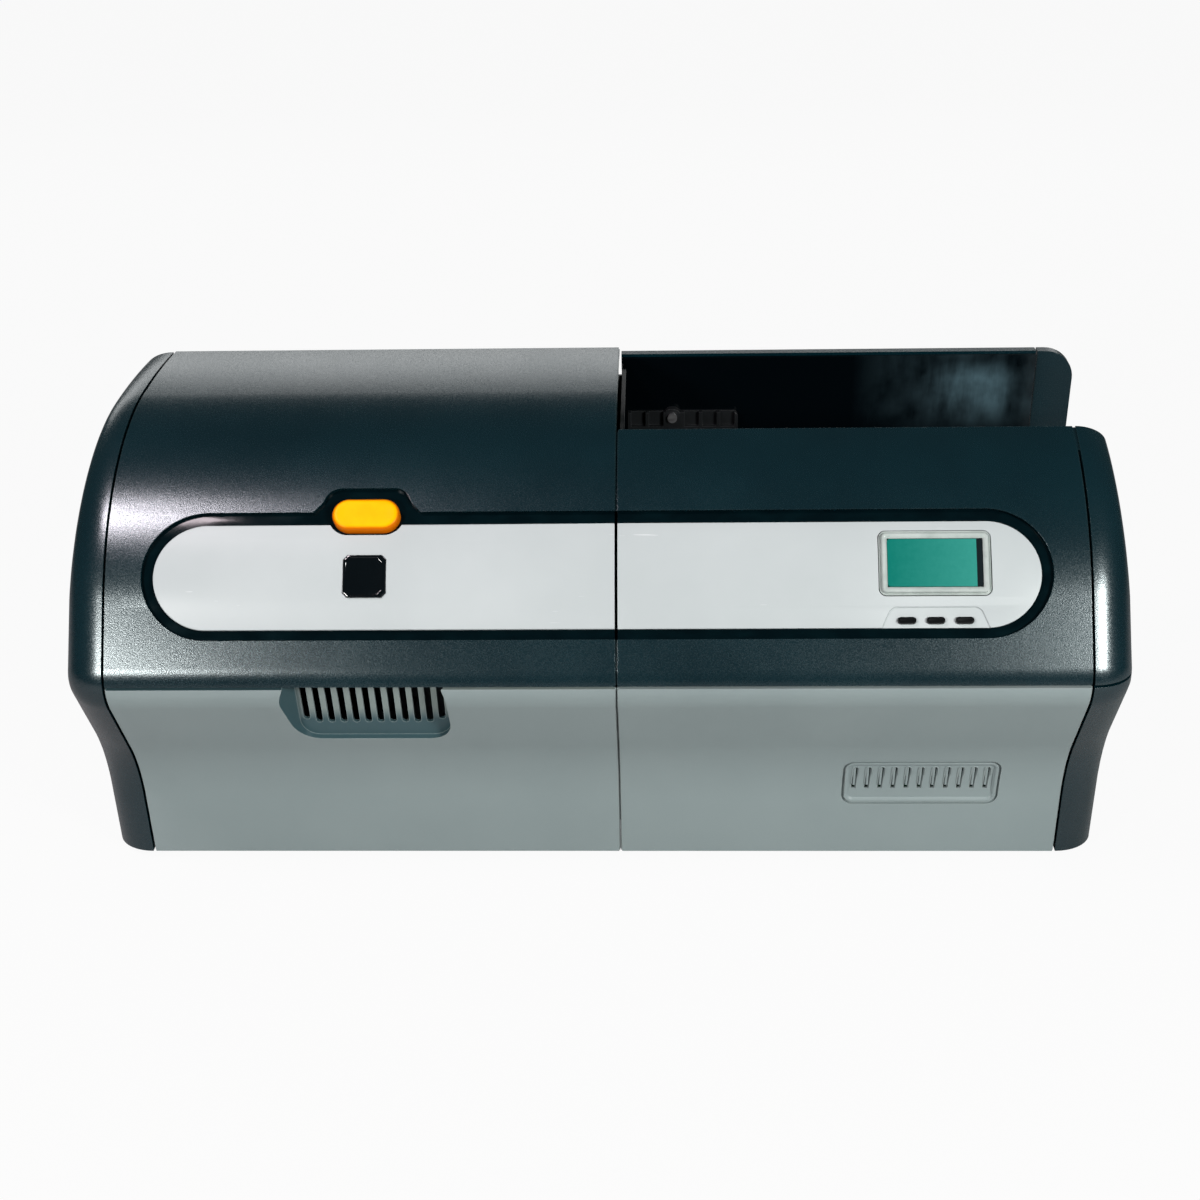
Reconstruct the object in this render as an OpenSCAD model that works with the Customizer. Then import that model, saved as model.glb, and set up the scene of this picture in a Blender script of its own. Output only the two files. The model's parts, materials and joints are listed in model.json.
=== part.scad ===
// Card printer: a hinged print cover on the left, an open card well on the right.
// X runs to the right, Y to the back, Z up. The origin is under the middle of the body.

/* [Body] */
// Width over both side covers
overall_width = 711; // [680:1:760]
// Depth from the chin to the rear panel
body_depth = 277; // [265:1:300]
// Height from the table to the top of the crown
body_height = 306; // [298:1:330]
// Width of each side cover
side_cover_width = 30; // [26:1:36]
// Length of the print cover's half, from the left side cover to the middle seam
cover_length = 340.2; // [336:0.2:346]
// Gap of every seam between covers, at the outside
seam_gap = 2; // [1:0.1:3]
// Wall of the plastic covers
shell = 3; // [2.5:0.1:4]
// Height of the feet
foot_height = 6; // [4:0.5:10]
// Radius of each foot
foot_radius = 12; // [8:0.5:16]

/* [Side profile] */
// How far the chin's centre lies below the top
chin_drop = 138; // [130:0.5:146]
// Height of the seam between dark covers and grey panels above the chin's centre
seam_rise = 4; // [0:0.5:8]
// Distance of the crown's highest line behind the body's middle
crown_y = 45; // [35:1:55]
// Length of the straight run between the chin and the front of the crown
slope_run = 46.7; // [38:0.1:54]
// Radius of the rear of the crown
rear_crown_radius = 762; // [600:1:900]
// Radius of the chin
chin_radius = 30; // [27:0.5:34]
// How far the foot of the front stands behind the chin
base_setback = 41; // [34:0.5:48]
// Length of the straight run between the chin and the hollow under it
flare_run = 52.8; // [44:0.1:60]
// Height where the hollow starts
flare_z = 54; // [46:1:62]
// How far the side covers' rounding comes in from the profile
side_round_depth = 24; // [18:0.5:26]
// How far the side covers lean in at the crown
side_lean = 7; // [3:0.5:10]
// How far below the top the side covers start to lean in
lean_drop = 106; // [86:1:126]

/* [White band] */
// Distance of the white band's ends from the body's sides
band_end = 62.5; // [58:0.5:70]
// Height of the white band along the slope
band_height = 70.8; // [64:0.2:76]
// Width of the black groove round the band
groove_width = 8; // [5:0.5:10]
// How far the groove stands above the band's middle
groove_shift = 1; // [0:0.1:2]
// Depth of the groove's floor below the covers
groove_depth = 3.2; // [3.1:0.1:4.5]
// Wall of the black trim
trim_wall = 2; // [1.5:0.1:3]
// How much flatter the band's plane lies than the straight run under it, in degrees
band_turn = 5.5; // [4:0.1:7]
// How far the band's plane lies inside the crown
band_sink = 2.9; // [2:0.1:4]
// How far the band's middle lies below where its plane would touch the crown
band_shift = 3.3; // [2:0.1:5]
// Side of the square badge
badge_size = 28.5; // [24:0.5:34]
// Cut corner of the badge
badge_corner = 3; // [1:0.5:5]

/* [Latch] */
// Distance of the latch button and badge from the left side cover
latch_inset = 173.7; // [160:0.1:200]
// Width of the latch button
latch_width = 45; // [38:0.5:52]
// Height of the latch button along the slope
latch_height = 22; // [18:0.5:26]
// Distance round the crown from the band's middle up to the latch button
latch_rise = 38.5; // [35:0.1:42]
// How far the button stands out
latch_proud = 4.6; // [3:0.1:6]
// Travel of the button
latch_travel = 3; // [2:0.5:4]
// Black surround beyond the button
latch_surround = 10; // [6:0.5:12]
// Length of the latch hook's arm under its pivot
hook_reach = 55; // [50:0.5:60]
// Half width of the surround's feet where they run into the groove
surround_foot = 36; // [33:0.5:40]
// Width of the hook
hook_width = 10; // [6:0.5:14]

/* [Display] */
// Distance of the display's middle from the body's right side
display_inset = 131.7; // [121:0.1:155]
// Middle of the display above the band's middle, along the slope
display_v = 7.2; // [4:0.2:9]
// Width of the bezel
bezel_width = 73.8; // [66:0.2:84]
// Height of the bezel
bezel_height = 43.6; // [42:0.2:48]
// Width of the window
window_width = 62.5; // [56:0.5:65]
// Height of the window
window_height = 32.1; // [28:0.1:35]
// Width of a key
key_width = 12; // [10:0.5:15]
// Height of a key
key_height = 4.6; // [4:0.1:5.5]
// Distance between keys
key_pitch = 18.8; // [17:0.2:21]
// Middle of the keys below the band's middle, along the slope
key_v = -30.6; // [-31.5:0.1:-29]
// Travel of a key
key_travel = 0.8; // [0.4:0.1:1]

/* [Vents] */
// Distance of the finger scoop from the left side cover
scoop_inset = 114.2; // [100:0.1:126]
// Width of the scoop
scoop_width = 113; // [106:0.1:130]
// Height of the scoop below the seam
scoop_height = 57; // [50:0.5:64]
// Depth of the scoop at its lower edge
scoop_depth = 4; // [3:0.5:6]
// Lean of the scoop's floor from upright
scoop_tilt = 10; // [6:1:14]
// How far the scoop's walls spread towards the front
scoop_spread = 9; // [6:0.5:12]
// Number of slots in the scoop
scoop_slots = 12; // [8:1:13]
// Distance between the scoop's slots
scoop_slot_pitch = 8.43; // [7:0.1:9]
// Width of the scoop's slots
scoop_slot_width = 4.6; // [2:0.1:5.2]
// Distance of the louvred vent from the right side cover
louvre_inset = 44.3; // [36:0.1:56]
// Length of the louvred vent
louvre_length = 110; // [104:1:120]
// Bottom of the louvred vent
louvre_bottom = 48; // [40:0.5:56]
// Height of the louvred vent
louvre_height = 39.6; // [34:0.2:46]
// Number of louvres
louvre_count = 11; // [8:1:11]
// Distance between louvres
louvre_pitch = 9.2; // [8:0.1:9.6]
// Width of a louvre
louvre_width = 3; // [2:0.1:4]
// Turn of the louvres about the upright
louvre_turn = 25; // [0:1:35]
// Height of a louvre
louvre_slot_height = 20; // [14:0.5:26]

/* [Card well] */
// Distance of the well's front rim from the chin
rim_setback = 131.5; // [124:0.5:135]
// How far the well's floor lies below the card path
well_drop = 49; // [40:0.5:54]
// Wall of the well's liner
liner_wall = 3; // [2.5:0.1:4]
// How far the rear wall's edge lies below the top
rear_wall_drop = 8; // [7:0.5:14]
// Depth of the rear wall's light top edge
rear_wall_depth = 7; // [5:0.5:8]
// Depth of the ear that stands behind the well's open side
ear_depth = 8; // [7.5:0.5:12]
// Radius of the rear right corner
corner_radius = 22; // [14:1:25]
// Width of the card guide at the back of the well
guide_width = 84; // [78:1:88]
// Height of the card guide above the well's floor
guide_height = 114; // [106:1:122]
// Depth of the card guide
guide_depth = 6; // [5:0.5:10]
// Height of the catch tray's rim
tray_height = 16; // [12:1:24]

/* [Cards and engine] */
// Insets in this section and the rear's are from the print cover's left end.

// Length of a card
card_length = 85.6; // [85.6:0.1:86]
// Width of a card
card_width = 54; // [53.9:0.1:54]
// Play of a card in its guides
card_play = 1; // [0.6:0.1:1.5]
// How far the card path lies below the top
path_drop = 117; // [112:0.5:120]
// Distance of the card path's middle from the back
path_inset = 54.5; // [53.5:0.5:56.5]
// Thickness of the frame plates
plate = 2.5; // [2:0.1:3]
// Inside distance between the frame plates
plate_distance = 66; // [64:0.5:67]
// Height of the frame plates above the card path
plate_rise = 79; // [73:1:83]
// Radius of the rubber rollers
roller_radius = 8; // [7:0.1:8.5]
// Radius of the roller shafts
shaft_radius = 3; // [2.5:0.1:4]
// Running clearance of every shaft and pin
running = 0.05; // [0.02:0.01:0.1]
// Inset of the printing line
print_inset = 209.5; // [204.5:0.5:214.5]
// Inset of the exit roller
exit_inset = 294.5; // [288.5:0.5:300.5]
// Inset of the feed roller
feed_inset = 144.5; // [140.5:0.5:148.5]
// Inset of the pick roller
pick_inset = 69.5; // [62.5:0.5:74.5]
// Inset of the cleaning roller
cleaner_inset = 116.5; // [114.5:0.5:118.5]
// Radius of the cleaning roller
cleaner_radius = 7; // [6:0.1:8]
// Inset of the supply spool
supply_inset = 138.5; // [136.5:0.5:140.5]
// Inset of the take-up spool
takeup_inset = 272.5; // [268.5:0.5:276.5]
// Height of both ribbon spools above the card path
spool_rise = 49; // [45:0.5:51]
// Radius of the full supply roll
supply_radius = 24; // [20:0.5:25]
// Radius of the take-up roll
takeup_radius = 17; // [14:0.5:22]
// Width of the ribbon
ribbon_width = 58; // [56:0.5:60]
// Module of the gears
gear_module = 1; // [1:0.1:1]
// Teeth of the gear on the platen roller
platen_teeth = 48; // [48:1:48]
// Teeth of the motor's pinion
pinion_teeth = 16; // [16:1:16]
// Width of the gears
gear_width = 6; // [5:0.5:6]
// Radius of the belt pulleys
pulley_radius = 9; // [8:0.1:10]
// Thickness of the belt
belt_thickness = 1.5; // [1:0.1:2]
// Side of the motor
motor_size = 42; // [40:1:42]
// Length of the motor
motor_length = 36; // [30:1:40]
// Height of the card magazine above the card path
magazine_height = 88; // [70:1:92]
// Wall of the card magazine
magazine_wall = 2.5; // [2:0.1:3]

/* [Hinge] */
// How far the hinge axis lies below the top
hinge_drop = 18; // [16:0.5:20]
// Hinge axis ahead of the body's rear face
hinge_inset = 9.5; // [9:0.1:10.5]
// Radius of the hinge pins
hinge_pin_radius = 2.5; // [2:0.1:3]
// Wall of the knuckles round the pins
knuckle_wall = 2.5; // [2:0.1:2.7]
// Width of a knuckle
knuckle_width = 10; // [8:0.5:14]
// Distance of the hinges from the ends of the print cover
hinge_end = 45; // [30:1:70]

/* [Rear and inside] */
// Thickness of the base pan
pan = 2; // [1.5:0.1:3]
// Rear panel's wall
rear_wall = 2.5; // [2:0.1:3]
// Inset of the power inlet
inlet_inset = 52.5; // [40:0.5:70]
// Distance between the power inlet and its switch
switch_pitch = 50; // [30:1:60]
// Height of the power inlet and switch
inlet_z = 40; // [34:1:60]
// Distance of the data ports from the right side cover
ports_inset = 85.5; // [65.5:0.5:95.5]
// Side of the fan
fan_size = 80; // [76:1:84]
// Inset of the fan's axis from the right side cover
fan_inset = 195.5; // [175.5:0.5:215.5]
// How far the fan's axis lies below the well's floor
fan_drop = 50; // [48:0.5:52]
// Length of the power supply
supply_unit_length = 180; // [150:1:190]
// Distance of the main board from the middle seam
board_gap = 44.3; // [36:0.1:60]
// Distance of the main board from the right side cover
board_inset = 30.5; // [24:0.5:50]

/* [Hidden] */
$fn = 96;

dark = [0.10, 0.14, 0.15];
gloss_black = [0.02, 0.02, 0.03];
grey = [0.50, 0.54, 0.53];
steel = [0.70, 0.71, 0.73];
rubber = [0.08, 0.08, 0.08];
white = [0.84, 0.84, 0.87];
black = [0.06, 0.06, 0.07];

// Angle by which arcs and straight runs of an outline cross, so that they join cleanly
kink = 2;
// Reach of a cutting shape, longer than anything it cuts
far = 1000;
// Clearance of parts that seat in one another
seat = 0.2;

half_width = overall_width / 2;
back_y = body_depth / 2;
front_y = -back_y;
base_front_y = front_y + base_setback;
bottom_z = foot_height;

// Heights below the body's top; a taller body has a taller base under the same covers
chin_z = body_height - chin_drop;
chin_seam_z = chin_z + seam_rise;
lean_z = body_height - lean_drop;
path_z = body_height - path_drop;
hinge_z = body_height - hinge_drop;
rear_wall_z = body_height - rear_wall_drop;
scoop_bottom = chin_seam_z - scoop_height;
spool_z = path_z + spool_rise;
plate_top_z = path_z + plate_rise;
well_floor_z = path_z - well_drop;
guide_top_z = well_floor_z + guide_height;
fan_z = well_floor_z - fan_drop;

rim_y = front_y + rim_setback;
path_y = back_y - path_inset;
side_ear_y = back_y - ear_depth;

// Side covers meet the front covers at this distance from the middle
cover_end = half_width - side_cover_width;
split_x = cover_length - cover_end;
left_x0 = -cover_end + seam_gap / 2;
left_x1 = split_x - seam_gap / 2;
right_x0 = split_x + seam_gap / 2;
right_x1 = cover_end - seam_gap / 2;
side_inner = cover_end + seam_gap / 2;

band_length = overall_width - 2 * band_end;
latch_x = latch_inset - cover_end;
display_x = half_width - display_inset;
scoop_left = scoop_inset - cover_end;
scoop_right = scoop_left + scoop_width;
louvre_left = cover_end - louvre_inset - louvre_length;
pick_x = left_x0 + pick_inset;
cleaner_x = left_x0 + cleaner_inset;
supply_x = left_x0 + supply_inset;
feed_x = left_x0 + feed_inset;
print_x = left_x0 + print_inset;
takeup_x = left_x0 + takeup_inset;
exit_x = left_x0 + exit_inset;
inlet_x = left_x0 + inlet_inset;
switch_x = inlet_x + switch_pitch;
ports_x = cover_end - ports_inset;
fan_x = cover_end - fan_inset;

function dir(a) = [cos(a), sin(a)];
function angle_of(v) = atan2(v[1], v[0]);
// Direction of the straight run between two arcs, a and b, whose radii differ by r
function run_angle(a, b, r) = angle_of(a - b) + acos(r * cos(kink) / norm(a - b));

// Radius of the front of the crown, so that the straight run has its length
chin_run = crown_y - front_y - chin_radius;
crown_radius = (pow(chin_run, 2) + pow(chin_drop, 2) - pow(slope_run, 2) - pow(chin_radius, 2))
    / (2 * (chin_drop - chin_radius));
crown_c = [crown_y, body_height - crown_radius];
// Radius of the hollow under the chin, from its straight run in the same way
flare_rise = chin_z - flare_z;
flare_radius = (pow(base_setback - chin_radius, 2) + pow(flare_rise, 2)
    - pow(flare_run, 2) - pow(chin_radius, 2))
    / (2 * base_setback);
rear_c = crown_c + crown_radius * dir(90 - kink) - [0, rear_crown_radius];
chin_c = [front_y + chin_radius, chin_z];
flare_c = [base_front_y - flare_radius * cos(kink), flare_z];
up_angle = run_angle(crown_c, chin_c, chin_radius - crown_radius);
low_angle = run_angle(chin_c, flare_c, -chin_radius - flare_radius);

// Height of the crown above a place, in front of and behind its highest line
function crown_z(y) = crown_c[1] + sqrt(pow(crown_radius, 2) - pow(crown_y - y, 2));
function rear_z(y) = rear_c[1] + sqrt(pow(rear_crown_radius, 2) - pow(y - rear_c[0], 2));

// The band's plane, and where the latch button sits above it
band_tilt = up_angle - 90 - band_turn;
band_c = crown_c + (crown_radius - band_sink) * dir(band_tilt + 90) - band_shift * dir(band_tilt);
latch_tilt = band_tilt - latch_rise / crown_radius * 180 / PI;
latch_y = crown_y - crown_radius * sin(latch_tilt);

hinge_y = back_y - hinge_inset;
knuckle_radius = hinge_pin_radius + knuckle_wall;
trough_z = hinge_z - knuckle_radius - 4;
front_plate_y = path_y - plate_distance / 2;
rear_plate_y = path_y + plate_distance / 2;
plate_x0 = left_x0 + 2;
plate_x1 = left_x1 - 5;
pan_top = bottom_z + pan;
roller_z = path_z - roller_radius;
gears_y = rear_plate_y + plate + 1.5;
pulleys_y = gears_y + gear_width + 1;
pulley_width = 6;
gear_distance = gear_module * (platen_teeth + pinion_teeth) / 2;
motor_z = roller_z - gear_distance;
liner_x0 = right_x0 + 0.8;
liner_front = rim_y + 0.5;
liner_back = back_y - rear_wall_depth - 0.5;
guide_front = liner_back - liner_wall - guide_depth;
magazine_x0 = left_x0 + 6;
magazine_x1 = magazine_x0 + card_length + card_play + 2 * magazine_wall;
magazine_half = (card_width + card_play) / 2 + magazine_wall;

// ---------- shared shapes ----------

// A slice of a disc
module pie(c, r, a0, a1) {
    intersection() {
        translate(c) circle(r);
        polygon([c, c + 2 * r * dir(a0), c + 2 * r * dir((a0 + a1) / 2), c + 2 * r * dir(a1)]);
    }
}

// The body's outline seen from the side, drawn in by a distance
module profile(inset = 0, bottom = bottom_z) {
    difference() {
        union() {
            polygon([
                [back_y, bottom],
                [back_y, crown_c[1]],
                crown_c,
                crown_c + (crown_radius - inset) * cos(kink) * dir(up_angle),
                chin_c + (chin_radius - inset) * cos(kink) * dir(up_angle),
                chin_c,
                chin_c + (chin_radius - inset) * cos(kink) * dir(low_angle),
                flare_c - (flare_radius + inset) * cos(kink) * dir(low_angle),
                [base_front_y + inset, flare_c[1]],
                [base_front_y + inset, bottom],
            ]);
            pie(chin_c, chin_radius - inset, up_angle - 3 * kink, low_angle + 3 * kink);
            pie(crown_c, crown_radius - inset, 90 - 3 * kink, up_angle + 3 * kink);
            intersection() {
                translate(rear_c) circle(rear_crown_radius - inset);
                translate([crown_y, crown_c[1] - 20]) square([back_y - crown_y, far]);
            }
        }
        pie(flare_c, flare_radius + inset, -3 * kink, low_angle - 180 + 3 * kink);
    }
}

// Extrudes an outline given in Y and Z along X
module along_x(x0, x1) {
    translate([x0, 0, 0]) rotate([90, 0, 90]) linear_extrude(x1 - x0) children();
}

// Extrudes an outline given in X and Z along Y
module along_y(y0, y1) {
    translate([0, y1, 0]) rotate([90, 0, 0]) linear_extrude(y1 - y0) children();
}

// A layer of the body's skin, from one depth to another, above the chin seam
module skin(x0, x1, outer, inner, z0 = chin_seam_z + seam_gap / 2) {
    along_x(x0, x1) difference() {
        profile(outer);
        profile(inner, bottom_z - 1);
        translate([-far / 2, 0]) square([far, z0]);
    }
}

// A layer of the skin below the chin seam
module lower_skin(x0, x1, outer, inner) {
    along_x(x0, x1) difference() {
        profile(outer);
        profile(inner, bottom_z - 1);
        translate([-far / 2, chin_seam_z - seam_gap / 2]) square([far, far]);
        translate([base_front_y + shell + 40, 0]) square([far, far]);
    }
}

// Everything in front of a depth below the outline, right of the middle
module front_layer(depth) {
    along_x(0, far) difference() {
        profile(-5, 0);
        profile(depth, -1);
    }
}

module stadium(w, h) {
    square([w - h, h * cos(kink)], center = true);
    for (s = [-1, 1]) translate([s * (w - h) / 2, 0]) circle(d = h);
}

module rounded(w, h, r) {
    trim = 2 * r * (1 - cos(kink));
    square([w - 2 * r, h - trim], center = true);
    square([w - trim, h - 2 * r], center = true);
    for (sx = [-1, 1], sy = [-1, 1]) translate([sx * (w / 2 - r), sy * (h / 2 - r)]) circle(r);
}

// Box given by its low and high corners
module block(a, b) {
    translate(a) cube(b - a);
}

module raised(z) {
    translate([0, 0, z]) children();
}

// Extrudes an outline far enough to both sides to cut through a cover
module through() {
    translate([0, 0, -20]) linear_extrude(40) children();
}

// The plane of the white band: X to the right, Y up the slope, Z out of the cover
module on_band(x = 0, v = 0) {
    translate([x, band_c[0], band_c[1]]) rotate([band_tilt, 0, 0]) translate([0, v, 0]) children();
}

// The plane that touches the crown at the latch button
module on_latch() {
    translate([latch_x, latch_y, crown_z(latch_y)]) rotate([latch_tilt, 0, 0]) children();
}

// Cuts straight in through the band's plane
module band_prism() {
    on_band() through() children();
}

module latch_prism() {
    on_latch() through() children();
}

module cylinder_x(r, x0, x1, y, z) {
    translate([x0, y, z]) rotate([0, 90, 0]) cylinder(r = r, h = x1 - x0);
}

module cylinder_y(r, y0, y1, x, z) {
    translate([x, y0, z]) rotate([-90, 0, 0]) cylinder(r = r, h = y1 - y0);
}

// ---------- covers ----------

// Points of the outline, for the rounded side covers
side_steps = 10;
function arc(c, r, a0, a1, steps) = [for (i = [0:steps]) c + r * dir(a0 + (a1 - a0) * i / steps)];
function rear_end(inset) = asin((back_y - rear_c[0]) / (rear_crown_radius - inset));
function outline(inset) = concat(
    [[back_y, bottom_z], [base_front_y + inset, bottom_z]],
    arc(flare_c, flare_radius + inset, -kink, low_angle - 180 + kink, 6),
    arc(chin_c, chin_radius - inset, low_angle + kink, up_angle - kink, 8),
    arc(crown_c, crown_radius - inset, up_angle + kink, 90 - kink, 14),
    arc(rear_c, rear_crown_radius - inset, 89, 90 - rear_end(inset), 2));
function side_ring(i, s) = let (t = 90 * i / side_steps)
    [for (p = outline(side_round_depth * (1 - cos(t))))
        [s * (side_inner + (half_width - side_inner) * sin(t)), p[0], p[1]]];

// A side cover's outer form: the outline, rounded over towards the outside; s is -1 or 1
module side_form(s) {
    n = len(outline(0));
    points = [for (i = [0:side_steps]) each side_ring(i, s)];
    inner_cap = [for (j = [0:n - 1]) j];
    outer_cap = [for (j = [0:n - 1]) side_steps * n + n - 1 - j];
    walls = [for (i = [0:side_steps - 1], j = [0:n - 1], k = [0, 1])
        let (a = i * n + j, b = i * n + (j + 1) % n, c = a + n, d = b + n)
        k == 0 ? [a, c, b] : [b, c, d]];
    faces = concat([inner_cap, outer_cap], walls);
    intersection() {
        polyhedron(points, s > 0 ? [for (f = faces) [for (q = [len(f) - 1:-1:0]) f[q]]] : faces);
        lean = atan((side_lean) / (body_height - lean_z));
        translate([s * half_width, 0, lean_z]) rotate([0, -s * lean, 0])
            translate([s > 0 ? -far : 0, -far / 2, -far / 2]) cube([far, far, far]);
    }
}

// The hollow behind a side cover's outer wall
module side_hollow(s) {
    cavity_x0 = side_inner - 1;
    cavity_x1 = half_width - side_lean - shell;
    depth = side_round_depth - 4;
    along_x(s > 0 ? cavity_x0 : -cavity_x1, s > 0 ? cavity_x1 : -cavity_x0)
        intersection() {
            profile(depth, bottom_z + shell);
            translate([-far, 0]) square([far + back_y - shell, far]);
        }
}

module left_side_cover() {
    color(dark) difference() {
        side_form(-1);
        side_hollow(-1);
    }
}

module right_side_cover() {
    top_z = chin_seam_z - seam_gap / 2;
    color(dark) union() {
        difference() {
            side_form(1);
            side_hollow(1);
            block([0, -far, top_z], [far, far, far]);
        }
        // Closes the top beside the well
        block([side_inner, rim_y, top_z - shell], [half_width - shell, back_y - 1, top_z]);
        // The ear that stands behind the open side of the well
        along_y(side_ear_y, back_y) rear_corner();
    }
}

// Outline of the rear right corner, seen from the front
module rear_corner() {
    x0 = side_inner + 1;
    x1 = half_width - 0.2;
    z0 = chin_seam_z - seam_gap / 2 - 1;
    z1 = rear_wall_z;
    r = corner_radius;
    polygon([[x0, z0], [x1, z0], [x1, z1 - r], [x1 - r, z1 - r], [x1 - r, z1], [x0, z1]]);
    intersection() {
        translate([x1 - r, z1 - r]) circle(r);
        translate([x1 - r - 1, z1 - r - 1]) square(r + 2);
    }
}

module right_upper_side_cover() {
    color(dark) difference() {
        side_form(1);
        side_hollow(1);
        block([0, -far, 0], [far, far, chin_seam_z + seam_gap / 2]);
        block([0, rim_y, 0], [far, far, far]);
    }
}

// Outline of the hump round the latch button, with feet that run into the groove
module hump(grow) {
    top = latch_height / 2 + latch_surround + grow;
    half = latch_width / 2 + latch_surround - 3 + grow;
    foot = surround_foot + grow;
    rounded(2 * half, 2 * top, 12 + grow);
    polygon([[-foot, 0], [foot, 0], [foot, 3], [half - 0.5, 11], [0.5 - half, 11], [-foot, 3]]);
}

// Everything inside the groove's outer edge, grown all round
module groove_area(grow) {
    band_prism() translate([0, groove_shift])
        stadium(band_length + 2 * (groove_width + grow), band_height + 2 * (groove_width + grow));
    latch_prism() intersection() {
        hump(grow);
        translate([-far / 2, -latch_height / 2 - 3]) square([far, far]);
    }
}

module groove_cut() {
    groove_area(0);
}

trim_lip = 6;

module trim_area(grow) {
    groove_area(trim_lip + grow);
}

// How far a hidden lip reaches into each seam beside a cover
seam_lip = 0.35 * seam_gap;
lip_depth = 1.4;

module cover_ribs(x0, x1, y1) {
    rib = 2.5;
    for (x = [x0, x1 - rib])
        difference() {
            intersection() {
                skin(x, x + rib, shell - 0.5, shell + 9);
                block([x - 1, -far, 0], [x + rib + 1, y1, far]);
            }
            trim_area(seat);
        }
}

// Places of the two hinges along the print cover
hinge_places = [left_x0 + hinge_end, left_x1 - hinge_end];
knuckle_gap = 0.4;

module print_cover() {
    color(dark) difference() {
        union() {
            skin(left_x0, left_x1, 0, shell);
            skin(left_x0 - seam_lip, left_x1 + seam_lip, lip_depth, shell);
            cover_ribs(left_x0, left_x1, hinge_y - knuckle_radius - 8);
            for (x = hinge_places, s = [-1, 1])
                cover_knuckle(x + s * (knuckle_width + knuckle_gap));
        }
        groove_cut();
        cylinder_x(hinge_pin_radius + running, left_x0 - 1, left_x1 + 1, hinge_y, hinge_z);
    }
}

module cover_knuckle(x) {
    half = knuckle_width / 2;
    cylinder_x(knuckle_radius, x - half, x + half, hinge_y, hinge_z);
    block(
        [x - half, hinge_y - knuckle_radius * cos(kink), hinge_z],
        [x + half, hinge_y + knuckle_radius * cos(kink), rear_z(hinge_y) - shell + 1]);
}

module right_fascia() {
    color(dark) difference() {
        union() {
            skin(right_x0, right_x1, 0, shell);
            skin(right_x0 - seam_lip, right_x1 + seam_lip, lip_depth, shell);
            cover_ribs(right_x0, right_x1, rim_y - 6);
        }
        groove_cut();
        block([right_x0 - seam_gap, rim_y, 0], [far, far, far]);
    }
}

// The black trim under the band: its floor is the groove that shows round the band
module groove_trim(x0, x1) {
    intersection() {
        skin(x0, x1, groove_depth, groove_depth + trim_wall);
        trim_area(0);
    }
}

pivot_y = latch_y - 6.7;
pivot_z = crown_z(latch_y) - 32.1;
hook_pin_radius = 3;
ear_thickness = 3;
ear_gap = 1;

module left_groove_trim() {
    color(gloss_black) difference() {
        union() {
            groove_trim(left_x0 + 10, left_x1);
            for (s = [-1, 1]) hook_ear(latch_x + s * (hook_width / 2 + ear_gap + ear_thickness / 2));
        }
        latch_prism() stadium(latch_width + 2 * seat, latch_height + 2 * seat);
        cylinder_x(
            hook_pin_radius + running, latch_x - far / 2, latch_x + far / 2, pivot_y, pivot_z);
    }
}

// An ear that reaches from the trim to the hook's pivot
module hook_ear(x) {
    half = ear_thickness / 2;
    radius = hook_pin_radius + 3;
    arm = radius * cos(kink);
    intersection() {
        along_x(x - half, x + half) profile(groove_depth + 0.5);
        union() {
            cylinder_x(radius, x - half, x + half, pivot_y, pivot_z);
            translate([0, pivot_y, pivot_z]) rotate([band_tilt, 0, 0])
                block([x - half, -arm, 0], [x + half, arm, 60]);
        }
    }
}

// Cuts straight in at the display
module display_prism() {
    on_band(display_x, display_v) through() children();
}

module key_holes() {
    for (i = [-1:1]) on_band(display_x + i * key_pitch, key_v)
        through() stadium(key_width + 2 * seat, key_height + 2 * seat);
}

module right_groove_trim() {
    color(gloss_black) difference() {
        groove_trim(right_x0, right_x1 - 10);
        display_prism() square([opening_width, opening_height], center = true);
        key_holes();
    }
}

opening_width = window_width + 4;
opening_height = window_height + 4;
band_proud = 0.4;

module band(x0, x1) {
    intersection() {
        skin(x0, x1, band_proud, groove_depth - 0.05);
        band_prism() stadium(band_length, band_height);
    }
}

module left_band() {
    color(white) difference() {
        band(left_x0, left_x1);
        latch_prism() {
            stadium(latch_width + 6, latch_height + 5);
            polygon([[-30, 12], [-30, 2.5], [-20, -7], [20, -7], [30, 2.5], [30, 12]]);
        }
        on_band(latch_x, 0) raised(1) linear_extrude(20) badge_outline(badge_size + 2 * seat);
    }
}

module badge_outline(size) {
    h = size / 2;
    c = h - badge_corner;
    polygon([[h, -c], [h, c], [c, h], [-c, h], [-h, c], [-h, -c], [-c, -h], [c, -h]]);
}

module badge() {
    color(gloss_black) on_band(latch_x, 0) raised(1 + seat / 2)
        linear_extrude(2.2) badge_outline(badge_size);
}

key_recess = 1.2;

module right_band() {
    key_top = key_v + key_height / 2 + 6.5;
    key_half = 1.5 * key_pitch + 3;
    color(white) difference() {
        band(right_x0, right_x1);
        display_prism() rounded(bezel_width + 2 * seat, bezel_height + 2 * seat, 5 + seat);
        // Recess that runs from above the keys out through the band's lower edge
        intersection() {
            front_layer(band_proud + key_recess);
            on_band(display_x, 0) through()
                polygon([
                    [-key_half - 6, -band_height], [key_half + 6, -band_height],
                    [key_half + 4, -band_height / 2], [key_half - 2, key_top],
                    [-key_half + 2, key_top], [-key_half - 4, -band_height / 2],
                ]);
        }
        key_holes();
    }
}

// ---------- display ----------

bezel_top = 4.4;
bezel_foot = 0.3;

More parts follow.
